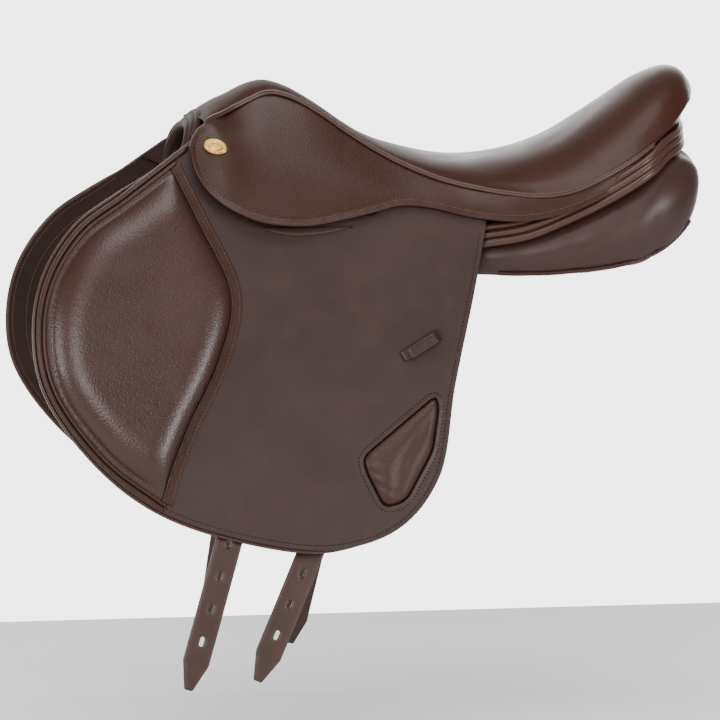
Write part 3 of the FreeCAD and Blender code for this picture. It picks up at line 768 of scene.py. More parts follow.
def studio(name, room, backdrop):
    """A dim room with a bright white backdrop on the off side of the saddle."""
    f = Finish(name, "worlds")
    across = Value(f, f.node("ShaderNodeSeparateXYZ", None, Vector=f.where).outputs["Y"])
    strength = f.ramp(across * -1.0, 0.55, 0.97) * (backdrop - room) + room
    shader = f.node("ShaderNodeBackground", None, Color=(1.0, 1.0, 1.0, 1.0), Strength=strength)
    out = f.node("ShaderNodeOutputWorld")
    f.tree.links.new(shader.outputs[0], out.inputs["Surface"])
    return f.material


def plain(name, colour):
    f = Finish(name)
    grain = f.noise(30.0, 3.0, 0.5)
    tone = f.mix(f.ramp(grain, 0.3, 0.7), rgba(colour, 0.99), rgba(colour))
    return f.surface(Base_Color=tone, Roughness=0.9)


# ---- settings ----
def length(name, default, description):
    return FloatProperty(name=name, description=description, default=default * MM, unit="LENGTH")


def dye(name, colour, description):
    return FloatVectorProperty(name=name, description=description, default=colour, size=3, subtype="COLOR")


class SaddleSizes(bpy.types.PropertyGroup):
    """Sizes of the work on the leather."""
    grid: length("Grid", 3.2, "Spacing of the mesh across a sheet of leather")
    stitch_pitch: length("Stitch pitch", 3.3, "From one stitch to the next")
    stitch_length: length("Stitch length", 2.5, "Length of one stitch")
    hem_margin: length("Hem margin", 6.0, "From the skirt's edge to its stitching")
    edge_margin: length("Edge margin", 5.0, "From the flap's edge to its stitching")
    knee_rise: length("Knee roll", 14.5, "How far the knee roll stands off the flap")
    calf_rise: length("Calf block", 7.0, "How far the calf block stands in its window")


class SaddleColours(bpy.types.PropertyGroup):
    """Dyes, threads and metals."""
    seat: dye("Cover", (0.035, 0.0106, 0.0060), "Cover leather")
    skirt: dye("Skirt", (0.031, 0.0096, 0.0054), "Skirt leather")
    flap: dye("Flap", (0.027, 0.0118, 0.0094), "Flap leather")
    grain: dye("Grain", (0.034, 0.0122, 0.0084), "Pebbled leather of the pads")
    trim: dye("Trim", (0.030, 0.0114, 0.0076), "Pipings, welts and bands")
    facing: dye("Facing", (0.046, 0.0165, 0.0095), "Facing round the back of the seat")
    panel: dye("Panel", (0.034, 0.0135, 0.0105), "Panel leather")
    lining: dye("Lining", (0.024, 0.0125, 0.0100), "Under flap and linings")
    strap: dye("Strap", (0.036, 0.0150, 0.0105), "Girth straps")
    tan_thread: dye("Tan thread", (0.115, 0.062, 0.040), "Light thread")
    dark_thread: dye("Dark thread", (0.008, 0.005, 0.004), "Dark thread")
    webbing: dye("Webbing", (0.42, 0.36, 0.27), "Linen webs")
    brass: dye("Brass", (0.52, 0.29, 0.075), "Badge")
    steel: dye("Steel", (0.42, 0.42, 0.43), "Bars, springs and plates")
    beech: dye("Beech", (0.46, 0.28, 0.15), "Laminated tree")
    floor: dye("Floor", (0.90, 0.90, 0.90), "Floor")


def sizes():
    """The sizes in millimetres."""
    group = bpy.context.scene.saddle_sizes
    return {name: getattr(group, name) / MM for name in SaddleSizes.__annotations__}


def finish(name):
    """A finish by name, mixed from the chosen colours the first time it is asked for."""
    if name in bpy.data.materials:
        return bpy.data.materials[name]
    c = bpy.context.scene.saddle_colours
    recipes = {
        "Cover leather": (leather, c.seat, dict(
            rough=0.36, coat=0.08, shine=0.15, pebble=0.0001, polished_to=0.05)),
        "Skirt leather": (leather, c.skirt, dict(
            rough=0.36, coat=0.04, shine=0.24, pebble=0.00018, grain_size=700.0)),
        "Flap leather": (leather, c.flap, dict(rough=0.44, coat=0.03, shine=0.3)),
        "Grain leather": (leather, c.grain, dict(rough=0.36, coat=0.06, pebble=0.00022, grain_size=520.0)),
        "Block leather": (leather, c.grain, dict(rough=0.47, shine=0.28, pebble=0.00018, grain_size=600.0)),
        "Trim leather": (leather, c.trim, dict(rough=0.36, coat=0.04, shine=0.22)),
        "Facing leather": (leather, c.facing, dict(rough=0.34, coat=0.1, pebble=0.0001)),
        "Panel leather": (leather, c.panel, dict(rough=0.4, shine=0.32, pebble=0.00008)),
        "Lining leather": (leather, c.lining, dict(rough=0.65, mottle=0.22, shine=0.12)),
        "Strap leather": (leather, c.strap, dict(rough=0.4, coat=0.08, mottle=0.14)),
        "Tan thread": (thread, c.tan_thread, {}),
        "Dark thread": (thread, c.dark_thread, {}),
        "Linen web": (webbing, c.webbing, {}),
        "Brass": (metal, c.brass, dict(rough=0.28, brush=False)),
        "Steel": (metal, c.steel, dict(rough=0.3)),
        "Beech": (beech, c.beech, {}),
        "Floor": (plain, c.floor, {}),
    }
    make, colour, looks = recipes[name]
    return make(name, colour, **looks)


# ---- pieces ----
def sewn(name, made, finish_name, body, slot, nodes=None, bend=None, fill=None):
    """One finished piece. It replaces the part of its own name unless nodes says otherwise."""
    obj = finished(name, *made, finish(finish_name), body, bend)
    nodes = (name,) if nodes is None else nodes
    if nodes:
        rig.replaces(obj, *nodes)
    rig.slot(obj, slot)
    if fill is not None:
        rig.padded(obj, fill)


def groove(distance, at, depth=0.35, width=1.1):
    """The dent that a row of stitches draws into leather."""
    return -depth * np.exp(-(((distance - at) / width) ** 2))


def make_seat(size):
    near = spline(SEAT[:, [0, 2]], 3.0)
    tip = resampled(mirrored([(-266.0, 24.0), (-267.0, 0.0)]), 3.0)
    front = resampled(mirrored([(220.0, 73.0), (222.5, 38.0), (223.5, 0.0)]), 3.0)
    off = near * (1, -1)
    outline = np.vstack([near, front[1:-1], off[::-1], tip[::-1][1:-1]])
    thick = 2.2

    def place(u, v, h):
        top = seat_z(u, v)
        crown, half = eased(SEAT, u, 1), eased(SEAT, u, 2)
        foam = np.maximum(0.0, top - crown + 22.0)
        under = (smoothstep(half * 0.88 - np.abs(v), 0, 8) * smoothstep(u, -246, -232)
                 * (1 - smoothstep(u, 98, 112)))
        depth = thick + foam * under
        z = np.where(h < thick, top - depth * (1 - h / thick), top + h - thick)
        return np.stack([u, v, z], axis=1)

    def relief(u, v):
        half = eased(SEAT, u, 2)
        slack = 0.07 * np.sin(u / 17.0 + np.sin(v / 13.0) * 1.3) * np.sin(v / 21.0 + 0.6)
        rim = groove(half - np.abs(v), 5.0, 0.9, 2.6)
        return slack * smoothstep(half - np.abs(v), 6, 30) * (u < 150) + rim * smoothstep(u, -240, -200)

    made = sheet(outline, place, thick, 2.6, step=size["grid"] + 0.4, relief=relief)
    sewn("seat", made, "Cover leather", "saddle", "seat_leather", ("seat_cover", "seat_foam"), fill=0.85)

    def under_foam(u, v, h):
        return np.stack([u, v, eased(SEAT, u, 1) - 29.8 + h], axis=1)

    for side, k in SIDES:
        welt = SEAT[4:]
        cords = []
        for out, down, radius in ((1.1, 0.3, 1.6), (3.4, 2.0, 1.35)):
            path = np.stack([welt[:, 0], k * (welt[:, 2] + out), welt[:, 3] - down], axis=1)
            cords.append(tube(spline(path, 3.0), radius))
        # The welt cords take the lighter facing leather: partly a painted highlight standing in for the light that the
        # thin cords catch.
        sewn(f"seat_welt_{side}", joined(cords), "Facing leather", "saddle", "trim_leather")
        web = resampled(np.array([(112, 3), (112, 22), (-205, 36), (-205, 6)]) * (1, k), 4.0, True)
        made = sheet(web, under_foam, 1.4, 0.6, step=7.0)
        sewn(f"seat_web_{side}", made, "Linen web", "saddle", "webbing")


def make_cantle():
    """The facing round the back, its three folds and the welt under the seat's edge."""
    edge = [(x, half - 2.5) for x, _, half, _ in SEAT[5:0:-1]]
    rim = spline(mirrored(edge + [(-263.5, 22), (-265, 0)]), 3.0)
    foot = spline(mirrored([(-188, 96), (-218, 90), (-236, 69), (-246, 40), (-250, 0)]), 0.5)
    foot = foot[np.linspace(0, len(foot) - 1, len(rim)).astype(int)]
    high = seat_z(rim[:, 0], rim[:, 1]) - 2.2
    low = np.minimum(110.0, high - 8)
    rows = []
    for t in np.linspace(0, 1, 9):
        bow = 1 - 0.012 * math.sin(t * math.pi)
        rows.append(np.column_stack([(rim * (1 - t) + foot * t) * bow, high * (1 - t) + low * t]))
    inner = [np.column_stack([r[:, :2] * (0.988, 0.97), r[:, 2]]) for r in rows[::-1]]
    loop = rows + inner
    n, m = len(loop), len(rim)
    faces = [(i * m + j, i * m + j + 1, (i + 1) % n * m + j + 1, (i + 1) % n * m + j)
             for i in range(n) for j in range(m - 1)]
    faces += [tuple(i * m for i in range(n))[::-1], tuple(i * m + m - 1 for i in range(n))]
    made = np.vstack(loop), faces
    sewn("cantle_facing", made, "Cover leather", "saddle", "seat_leather")
    rolls = []
    for layer, (radius, out, rise) in enumerate(((4.2, 5.0, -0.5), (4.0, 4.0, 7.0), (4.0, 0.0, 13.5))):
        flank = [(x, half + bulge * 0.35 + out, top + rise) for x, half, _, bulge, top in PANEL[5:0:-1]]
        back = [(x, y - 2.5 * layer * (y > 0), z + 7.5 * layer) for x, y, z in FOLDS]
        rolls.append(tube(spline(mirrored(flank + back), 3.0), radius))
    rolls.append(tube(np.column_stack([rim * (0.994, 0.99), high - 2.2]), 2.9))
    nodes = ("facing_roll_near", "facing_roll_off")
    sewn("facing_rolls", joined(rolls), "Facing leather", "saddle", "trim_leather", nodes)


def make_head():
    """The rolled lips over the head and the leather round its arch."""
    lips = []
    for j in range(3):
        half = [(235 + 3 * j, 61, 99 - 3 * j), (229 + 4 * j, 59, 120 - 4 * j),
                (222 + 5 * j, 41, 138 - 5 * j), (218 + 5 * j, 0, 146 - 5 * j)]
        lips.append(tube(spline(mirrored(half), 3.0), 4.4, 12))
    sewn("head_lips", joined(lips), "Lining leather", "saddle", "trim_leather", nodes=())

    def arch(grow):
        right = [(53 + grow, 66), (44 + grow, 110), (28.08 + grow, 124.4 + grow * 0.8), (0, 144.4 + grow)]
        return spline(right + [(-y, z) for y, z in right[-2::-1]], 2.5)

    def across_head(u, v, h):
        return np.stack([189.8 + h, u, v], axis=1)

    outline = resampled(np.vstack([arch(12), arch(0)[::-1]]), 2.5, True)
    made = sheet(outline, across_head, 3.2, 1.4, step=4.0)
    sewn("pommel_facing", made, "Cover leather", "saddle", "seat_leather")


def make_webs():
    for name, back, front, knee, shoulders, layer in (
        ("front", 84, 128, (67.2, 50.0), (56.5, 51.5), -14.0),
        ("rear", -18, 27, (76.0, 58.0), (75.0, 73.0), -24.8),
    ):
        end = STRAPS[name][1]

        def place(u, v, h):
            """Over the tree, round its shoulder and down to the strap, as v runs from 0 to 2."""
            shoulder = np.interp(u, (back, front), shoulders)
            top = eased(SEAT, u, 1) - 28.1
            side = np.abs(v)
            over, bent, down = (np.clip(t, 0, 1) for t in (side / 0.7, (side - 0.7) / 0.3, side - 1))
            y = shoulder * over + (knee[0] - shoulder) * bent + (side_y(end) + layer - knee[0]) * down
            z = top + (knee[1] - top) * bent + (end - knee[1]) * down
            y += h * smoothstep(side, 0.5, 0.8)
            z += h * (1 - smoothstep(side, 0.9, 1.1))
            return np.stack([u, np.sign(v) * y, z], axis=1)

        def strip(h):
            us = np.linspace(back, front, 12)
            vs = np.concatenate([-np.linspace(2, 0, 41), np.linspace(0, 2, 41)[1:]])
            gu, gv = np.meshgrid(us, vs)
            return place(gu.ravel(), gv.ravel(), np.full(gu.size, h))

        m, n = 12, 81
        points = np.vstack([strip(2.0), strip(0.0)])
        faces = []
        for i in range(n - 1):
            for j in range(m - 1):
                a = i * m + j
                faces.append((a, a + 1, a + m + 1, a + m))
                faces.append(tuple(q + n * m for q in (a + m, a + m + 1, a + 1, a)))
        ring = list(range(m)) + [i * m + m - 1 for i in range(1, n)]
        ring += [(n - 1) * m + j for j in range(m - 2, -1, -1)] + [i * m for i in range(n - 2, 0, -1)]
        faces += [(a, a + n * m, b + n * m, b) for a, b in zip(ring, ring[1:] + ring[:1])]
        sewn(f"girth_web_{name}", (points, faces), "Linen web", "saddle", "webbing")


def panel_section(x):
    """The closed curve of a panel in the plane at x, as (y, z) points."""
    half, low, bulge, top = (float(eased(PANEL, x, k)) for k in range(1, 5))
    crown = float(eased(SEAT, x, 1))
    share = float(smoothstep(np.array(x), 0, 50))
    ceiling = (crown - 48) * (1 - share) + 47.0 * share
    inner_top = min(ceiling, top + 28 - 18 * (1 - float(smoothstep(np.array(x), -225, -200))))
    inner_low = min(low + 26, inner_top - 12)
    loop = [
        (34, (inner_low + inner_top) / 2), (38, inner_low), ((32 + half) / 2, (inner_low + low) / 2 - 2),
        (half - 4, low), (half + bulge, (low + top) / 2), (half - 5, top),
        ((32 + half) / 2 - 2, min((top + inner_top) / 2 + 2, inner_top)), (39, inner_top),
    ]
    fine = spline(loop, 1.0, True)
    pick = np.linspace(0, len(fine), PANEL_POINTS, endpoint=False).astype(int)
    return fine[pick]


def make_panels():
    tail_x, tail_length, tip_x, tip_length = -200, 62, 188, 12
    for side, k in SIDES:
        rings, edge = [], []
        tail = tail_x - tail_length * np.sin(np.linspace(1, 0, 24)[:-1] * math.pi / 2)
        tip = tip_x + tip_length * np.sin(np.linspace(0, 1, 7)[1:] * math.pi / 2)
        for x in np.concatenate([tail, np.linspace(tail_x, tip_x, 94), tip]):
            section = panel_section(min(max(x, -212.0), 198.0))
            rear, fore = max(0.0, (tail_x - x) / tail_length), max(0.0, (x - tip_x) / tip_length)
            shrink = max(0.06, (1 - rear**2.2) ** 0.5 if rear else (1 - fore * fore) ** 0.5)
            pucker = 0.3 * math.sin(x / 5.5) * math.sin(x / 17.0) * (1 - rear)
            centre = section.mean(0)
            out = section - centre
            out = out * (1 + pucker / np.maximum(np.linalg.norm(out, axis=1, keepdims=True), 10))
            ring = centre + (-4.0 * rear**2, 20.0 * rear**1.6) + out * shrink
            rings.append(np.column_stack([np.full(PANEL_POINTS, x), k * ring[:, 0], ring[:, 1]]))
            corner = ring[np.argmax(ring @ (0.72, -0.69))]
            if -253 < x < -50:
                edge.append((x, k * (corner[0] + 1.2), corner[1] - 1.0))
        made = np.vstack(rings), capped(len(rings), PANEL_POINTS)
        sewn(f"panel_{side}", made, "Panel leather", "saddle", "panel_leather", fill=0.9)
        path = np.pad(np.array(edge), ((6, 6), (0, 0)), "edge")
        path = np.stack([np.convolve(column, np.full(13, 1 / 13), "valid") for column in path.T], axis=1)
        made = tube(spline(path, 3.0), 1.9)
        sewn(f"panel_piping_{side}", made, "Trim leather", "saddle", "trim_leather")


def make_skirts(size):
    hem = spline(SKIRT_HEM, 2.5)
    upper = np.array([(x, low - 2.2) for x, _, _, low in SEAT[-2:3:-1]])
    outline = np.vstack([hem, spline(np.vstack([[(220.0, 139.0)], upper]), 2.5)[1:-1]])
    outline = resampled(outline, 2.4, True)
    margin = size["hem_margin"]

    def relief(u, v):
        d = away(u, v, hem)
        roll = 0.9 * np.exp(-((d / 3.2) ** 2))
        return roll + groove(d, margin, 0.45, 1.2)

    for side, k in SIDES:
        place = on_skirt(k)
        made = sheet(outline, place, 3.5, 1.9, step=size["grid"], relief=relief)
        bend = bend_line(SKIRT_HINGE, k, 9.0)
        nodes = (f"skirt_top_{side}", f"skirt_lobe_{side}")
        sewn(f"skirt_{side}", made, "Skirt leather", f"skirt_{side}", "flap_leather", nodes, bend)
        row = shifted(hem, -margin)[3:-3]
        made = stitches([row], place, 3.45, size["stitch_pitch"], k * 12, size["stitch_length"], 0.8)
        sewn(f"skirt_stitching_{side}", made, "Tan thread", f"skirt_{side}", "flap_leather", (), bend)
        make_badge(side, k)


def make_badge(side, k):
    normal = Vector((0.06, 0.87, 0.45)).normalized()
    across = normal.cross(Vector((-0.93, 0.05, -0.36))).normalized()
    along = across.cross(normal)
    axes = np.array([along, across, normal])
    angle = np.linspace(0, 2 * math.pi, 72, endpoint=False)
    long, wide = 11.5, 7.9
    outline = np.column_stack([long * np.cos(angle), wide * np.sin(angle)])

    def place(u, v, h):
        p = np.array((213, skirt_y(213.0, 117.0) + 0.4, 117)) + np.stack([u, v, h], axis=1) @ axes
        return p * (1, k, 1)

    def relief(u, v):
        r = np.hypot(u / long, v / wide)
        outer, inner = np.exp(-(((r - 0.84) / 0.05) ** 2)), np.exp(-(((r - 0.45) / 0.09) ** 2))
        return 0.7 * (1 - r * r) + 0.35 * outer + 0.3 * inner

    made = sheet(outline, place, 1.5, 0.8, step=0.7, relief=relief)
    sewn(f"badge_{side}", made, "Brass", f"skirt_{side}", "badge_brass")


def make_flaps(size):
    edge = spline(FLAP_EDGE, 2.5)
    top = [(-45, 50), (40, 74), (57, 72), (62, 53), (172, 47), (178, 106)]
    outline = resampled(np.vstack([edge, top]), 2.4, True)
    window = rounded(WINDOW, 9.0, 2.0)
    rear = edge[len(spline(FLAP_EDGE[:8], 2.5)) - 1:]
    margin = size["edge_margin"]
    front = spline(FLAP_EDGE[:8], 2.5)

    def relief(u, v):
        d = away(u, v, rear)
        w = away(u, v, window, True)
        ring = np.hypot((u - 9) / 21.0, (v - 17) / 12.0)
        mark = -0.45 * np.exp(-(((ring - 1.0) / 0.07) ** 2)) - 0.35 * np.exp(-(((ring - 0.55) / 0.12) ** 2))
        rolled = 0.5 * np.exp(-((d / 2.6) ** 2)) + 0.8 * np.exp(-((w / 3.0) ** 2))
        return mark + rolled + groove(d, margin) + groove(w, 5.0, 0.5)

    for side, k in SIDES:
        place = on_flap(k)
        body = f"flap_{side}"
        made = sheet(outline, place, 3.5, 1.7, [window], size["grid"], relief, FLAP_BACK)
        sewn(f"flap_{side}", made, "Flap leather", body, "flap_leather")
        whole = spline(FLAP_EDGE, 3.0)
        whole = whole[(whole[:, 0] > 262) | (whole[:, 1] < 40)]
        grow = (smoothstep(np.arange(len(whole)) * 3.0, 0, 60) * smoothstep(whole[:, 0], 60, 150))[:, None]
        under = np.vstack([shifted(whole, 0.8 - 3.0 * grow), [(-36, 36), (66, 36), (172, 36), (236, 88)]])
        made = sheet(resampled(under, 3.0, True), place, 2.4, 1.2, step=6.0)
        sewn(f"sweat_flap_{side}", made, "Lining leather", body, "lining_leather")
        rim = shifted(whole, 1.4 - 3.0 * grow)
        rim = rim[(rim[:, 0] > 100) | (rim[:, 1] < 0)]
        made = tube(place(rim[:, 0], rim[:, 1], np.full(len(rim), 1.2)), 0.6 + 1.4 * grow[:len(rim), 0])
        sewn(f"sweat_flap_rim_{side}", made, "Facing leather", body, "trim_leather", nodes=())
        rows = [shifted(whole, inset)[10:-4] for inset in (3.5, 17.0)]
        made = stitches(rows, place, -0.1, size["stitch_pitch"], -k * 12, size["stitch_length"], 0.8)
        sewn(f"sweat_flap_stitching_{side}", made, "Tan thread", body, "lining_leather", nodes=())
        rolls = []
        for inset, high, radius in ((2.6, 8.0, 2.6), (7.4, 8.2, 2.2)):
            line = shifted(front, inset)
            line = line[line[:, 0] > 238] if inset < 5 else line[line[:, 0] > 250]
            rolls.append(tube(place(line[:, 0], line[:, 1], np.full(len(line), high)), radius))
        sewn(f"flap_piping_{side}", joined(rolls), "Trim leather", body, "trim_leather")
        rows = [shifted(rear, margin)[2:-4], shifted(window, WINDOW_OUT * 5.0, True)]
        made = stitches(rows, place, FLAP_FACE, size["stitch_pitch"], k * 12, 1.9, 1.05)
        sewn(f"flap_stitching_{side}", made, "Dark thread", body, "flap_leather", nodes=())
        patch = np.array([(172, 41.5), (160, 36), (137, 33), (112, 35), (95, 38.5), (84, 41.5)])
        made = sheet(resampled(patch, 2.0, True), place, 1.5, 0.7, step=4.0, lift=FLAP_FACE + 0.2)
        sewn(f"bar_guard_{side}", made, "Flap leather", body, "flap_leather")
        row = spline([(163, 39), (150, 36), (137, 35), (112, 37), (95, 40)], 2.5)
        made = stitches([row], place, 7.85, size["stitch_pitch"], k * 12, size["stitch_length"], 0.8)
        sewn(f"bar_guard_stitching_{side}", made, "Tan thread", body, "flap_leather", nodes=())
        make_keeper(side, k)


def make_keeper(side, k):
    turn = math.radians(30.5)

    def place(u, v, h):
        rise = 6.0 * (1 - smoothstep(np.abs(u), 13.5, 20.5))
        x = 25.5 + u * math.cos(turn) + v * math.sin(turn)
        z = -68.0 - u * math.sin(turn) + v * math.cos(turn)
        return np.stack([x, k * (side_y(z) + 6.5 + rise + h), z], axis=1)

    outline = rounded([(-22, -5), (22, -5), (22, 5), (-22, 5)], 1.5, 1.0)
    made = sheet(outline, place, 2.4, 1.0, step=1.6)
    sewn(f"keeper_{side}", made, "Flap leather", f"flap_{side}", "trim_leather")
    rows = [np.array([(-11.5, v), (11.5, v)]) for v in (-3.4, 3.4)]
    made = stitches(rows, place, 2.4, 2.6, 0, 2.0, 0.7)
    sewn(f"keeper_stitching_{side}", made, "Dark thread", f"flap_{side}", "trim_leather", nodes=())


def make_knee_pads(size):
    front = shifted(spline(FLAP_EDGE[:8], 2.5), 6.0)
    front = front[(front[:, 0] > 249)]
    front = front[(front[:, 1] > -206) | (front[:, 0] > 283)]
    back = spline(KNEE_EDGE[:-1] + [(277, -203)], 2.5)
    outline = resampled(np.vstack([front, back[::-1]]), 2.4, True)
    high = size["knee_rise"]

    def relief(u, v):
        df, dr = away(u, v, front), away(u, v, back)
        swell = dome(df - 8.0, 32.0, 0.8) * dome(dr, 30.0) * dome(102 - v, 46.0) * dome(v + 210, 60.0)
        return high * swell

    window = rounded(WINDOW, 9.0, 2.0)
    centre = window.mean(0)
    block = centre + (window - centre) * 0.975

    def facets(u, v):
        d = away(u, v, block, True)
        crease = away(u, v, [(12, -122), (50, -172), (62, -215)])
        gather = np.exp(-away(u, v, [(87, -174), (69, -215)]) / 7.0)
        wrinkle = 0.9 * np.sin((u * 0.45 - v) / 1.6) * gather * smoothstep(d, 1, 5)
        valley = 2.0 * np.exp(-((crease / 7.0) ** 2)) * smoothstep(d, 2, 12)
        return size["calf_rise"] * dome(d, 24.0, 0.7) - valley + wrinkle

    line = spline(KNEE_EDGE, 2.5)
    inner, outer = shifted(line, 0.6), shifted(line, 11.0)
    strip = resampled(np.vstack([inner, outer[::-1]]), 2.2, True)

    def seams(u, v):
        return groove(away(u, v, inner), 2.4, 0.4, 0.9) + groove(away(u, v, outer), 2.2, 0.4, 0.9)

    for side, k in SIDES:
        place = on_flap(k)
        body = f"flap_{side}"
        made = sheet(outline, place, 1.8, 0.9, step=1.9, relief=relief, lift=PAD_BACK)
        sewn(f"knee_pad_{side}", made, "Grain leather", body, "grain_leather", fill=0.85)
        made = sheet(strip, place, 1.8, 0.9, step=2.4, relief=seams, lift=PAD_BACK)
        sewn(f"knee_band_{side}", made, "Trim leather", body, "trim_leather")
        dark = [shifted(front, 7.0)[4:-12], shifted(line, 3.0)[2:-2]]
        made = stitches(dark, place, 8.2, 2.9, k * 12, 2.0, 0.7)
        sewn(f"pad_stitching_{side}", made, "Dark thread", body, "grain_leather", nodes=())
        tan = [shifted(line, 8.8)[2:-2]]
        made = stitches(tan, place, 8.2, size["stitch_pitch"], k * 12, size["stitch_length"], 0.7)
        sewn(f"band_stitching_{side}", made, "Tan thread", body, "trim_leather", nodes=())
        made = sheet(block, place, 3.4, 1.4, step=1.6, relief=facets, lift=FLAP_BACK)
        sewn(f"calf_block_{side}", made, "Block leather", body, "grain_leather", fill=0.8)


def make_straps(size):
    half, point, first_hole, hole_pitch = 12.5, 26, 46, 31
    for side, k in SIDES:
        for name, (x0, z0, near, off, long, layer) in STRAPS.items():
            turn = -math.radians(near if k > 0 else off)
            angle = np.linspace(0, math.pi, 17)
            head = np.column_stack([half * np.cos(angle), half * np.sin(angle)])
            foot = [(-half, -long + point), (-4, -long), (4, -long), (half, -long + point)]
            outline = resampled(np.vstack([head, foot]), 2.2, True)
            slots = [rounded([(-1.9, z - 4.5), (1.9, z - 4.5), (1.9, z + 4.5), (-1.9, z + 4.5)], 1.9, 1.0)
                     for z in (-long + first_hole + hole_pitch * i for i in range(6))]

            def place(u, v, h):
                x = x0 + u * math.cos(turn) + v * math.sin(turn)
                z = z0 - u * math.sin(turn) + v * math.cos(turn)
                return np.stack([x, k * (side_y(z) + layer + h), z], axis=1)

            def relief(u, v):
                return groove(half - np.abs(u), 2.6, 0.3, 0.8)

            made = sheet(outline, place, 4.0, 1.5, holes=slots, step=3.0, relief=relief)
            body = f"strap_{name}_{side}"
            sewn(f"girth_strap_{name}_{side}", made, "Strap leather", body, "strap_leather")


def repaint(nodes, finish_name):
    """Gives a hard CAD part its finish."""
    for node in nodes:
        mesh = frame["nodes"][node].data
        mesh.materials.clear()
        mesh.materials.append(finish(finish_name))


class Piece:
    """What the saddle's operators share."""
    bl_options = {"REGISTER", "UNDO"}

    def execute(self, context):
        self.make(sizes())
        return {"FINISHED"}


class SADDLE_OT_tree(Piece, bpy.types.Operator):
    """Finish the beech tree, its steel and the stirrup bars"""
    bl_idname = "saddle.tree"
    bl_label = "Finish the tree"

    def make(self, size):
        repaint(["tree"], "Beech")
        paired = ("tree_spring", "stirrup_bar", "catch_pin", "safety_catch")
        steel = [f"{part}_{side}" for part in paired for side, _ in SIDES]
        repaint(["head_plate", "bar_rivets"] + steel, "Steel")
        make_webs()


class SADDLE_OT_seat(Piece, bpy.types.Operator):
    """Stuff the seat and cover the head and cantle"""
    bl_idname = "saddle.seat"
    bl_label = "Cover the seat"

    def make(self, size):
        make_seat(size)
        make_cantle()
        make_head()


class SADDLE_OT_panels(Piece, bpy.types.Operator):
    """Stuff and hang the two panels"""
    bl_idname = "saddle.panels"
    bl_label = "Hang the panels"

    def make(self, size):
        make_panels()


class SADDLE_OT_skirts(Piece, bpy.types.Operator):
    """Cut, hem and hang the skirts with their badges"""
    bl_idname = "saddle.skirts"
    bl_label = "Hang the skirts"

    def make(self, size):
        make_skirts(size)


class SADDLE_OT_flaps(Piece, bpy.types.Operator):
    """Cut the flaps, roll their edges and sew on the keepers"""
    bl_idname = "saddle.flaps"
    bl_label = "Cut the flaps"

    def make(self, size):
        make_flaps(size)


class SADDLE_OT_pads(Piece, bpy.types.Operator):
    """Stuff the knee rolls and calf blocks"""
    bl_idname = "saddle.pads"
    bl_label = "Stuff the pads"

    def make(self, size):
        make_knee_pads(size)


class SADDLE_OT_straps(Piece, bpy.types.Operator):
    """Cut and punch the girth straps"""
    bl_idname = "saddle.straps"
    bl_label = "Cut the girth straps"

    def make(self, size):
        make_straps(size)


def area_light(name, where, towards, size, power):
    data = bpy.data.lights.new(name, "AREA")
    data.shape, data.size, data.energy = "SQUARE", size, power
    obj = bpy.data.objects.new(name, data)
    bpy.context.scene.collection.objects.link(obj)
    obj.location = where
    obj.rotation_euler = (Vector(towards) - Vector(where)).to_track_quat("-Z", "Y").to_euler()


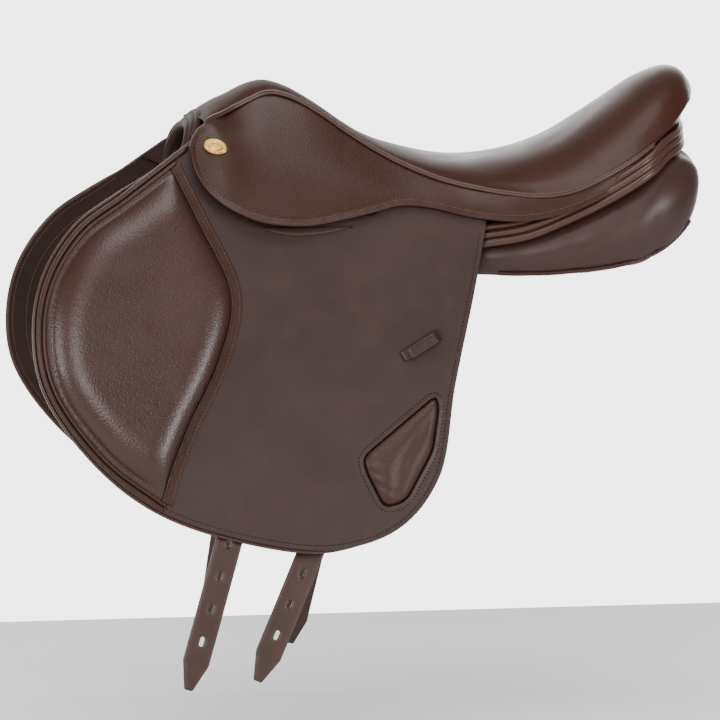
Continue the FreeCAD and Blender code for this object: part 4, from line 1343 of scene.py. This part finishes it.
class SADDLE_OT_stage(bpy.types.Operator):
    """Set the floor, the studio lights and the camera"""
    bl_idname = "saddle.stage"
    bl_label = "Set the stage"

    def execute(self, context):
        scene = context.scene
        mesh = bpy.data.meshes.new("floor")
        corners = [(x, y, FLOOR) for x, y in ((-3, -0.75), (3, -0.75), (3, 3), (-3, 3))]
        mesh.from_pydata(corners, [], [(0, 1, 2, 3)])
        mesh.materials.append(finish("Floor"))
        floor = bpy.data.objects.new("floor", mesh)
        scene.collection.objects.link(floor)
        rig.stage(floor)
        scene.world = studio("studio", 0.4, 4.2)
        middle = (0.05, 0.0, -0.05)
        area_light("overhead softbox", (0.2, 0.9, 2.4), middle, 1.6, 46.0)
        area_light("front softbox", (1.4, 3.3, 1.3), middle, 1.5, 74.0)
        area_light("head end softbox", (2.6, 0.9, 0.5), middle, 0.9, 34.0)
        area_light("cantle end softbox", (-1.5, 2.3, 0.45), (-0.2, 0, 0.05), 0.7, 44.0)
        camera = bpy.data.objects.new("camera", bpy.data.cameras.new("camera"))
        scene.collection.objects.link(camera)
        target = Vector((0.0585, 0.0, -0.0955))
        camera.location = (0.7501, 3.9224, 0.2740)
        camera.rotation_euler = (target - camera.location).to_track_quat("-Z", "Y").to_euler()
        camera.data.lens, camera.data.sensor_width = 205.1, 36.0
        scene.camera = camera
        return {"FINISHED"}


# The order of the work; each step is an operator.
STEPS = ("tree", "seat", "panels", "skirts", "flaps", "pads", "straps", "stage")


class SADDLE_PT_bench(bpy.types.Panel):
    """The saddler's bench"""
    bl_label = "English Jumping Saddle"
    bl_idname = "SADDLE_PT_bench"
    bl_space_type = "VIEW_3D"
    bl_region_type = "UI"
    bl_category = "Saddle"

    def draw(self, context):
        for group in (context.scene.saddle_sizes, context.scene.saddle_colours):
            box = self.layout.box()
            for name in type(group).__annotations__:
                box.prop(group, name)
        for step in STEPS:
            self.layout.operator(f"saddle.{step}")


CLASSES = (
    SaddleSizes, SaddleColours, SADDLE_OT_tree, SADDLE_OT_seat, SADDLE_OT_panels, SADDLE_OT_skirts,
    SADDLE_OT_flaps, SADDLE_OT_pads, SADDLE_OT_straps, SADDLE_OT_stage, SADDLE_PT_bench,
)


def register():
    for cls in CLASSES:
        bpy.utils.register_class(cls)
    bpy.types.Scene.saddle_sizes = PointerProperty(type=SaddleSizes, name="Saddle sizes")
    bpy.types.Scene.saddle_colours = PointerProperty(type=SaddleColours, name="Saddle colours")


def unregister():
    del bpy.types.Scene.saddle_colours
    del bpy.types.Scene.saddle_sizes
    for cls in reversed(CLASSES):
        bpy.utils.unregister_class(cls)


def main():
    register()
    for step in STEPS:
        getattr(bpy.ops.saddle, step)()
    dressed_size = [list(corner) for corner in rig.bounds()]
    with open("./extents.json", "w") as out:
        json.dump({"before": frame_size, "after": dressed_size}, out)


if __name__ == "__main__":
    main()
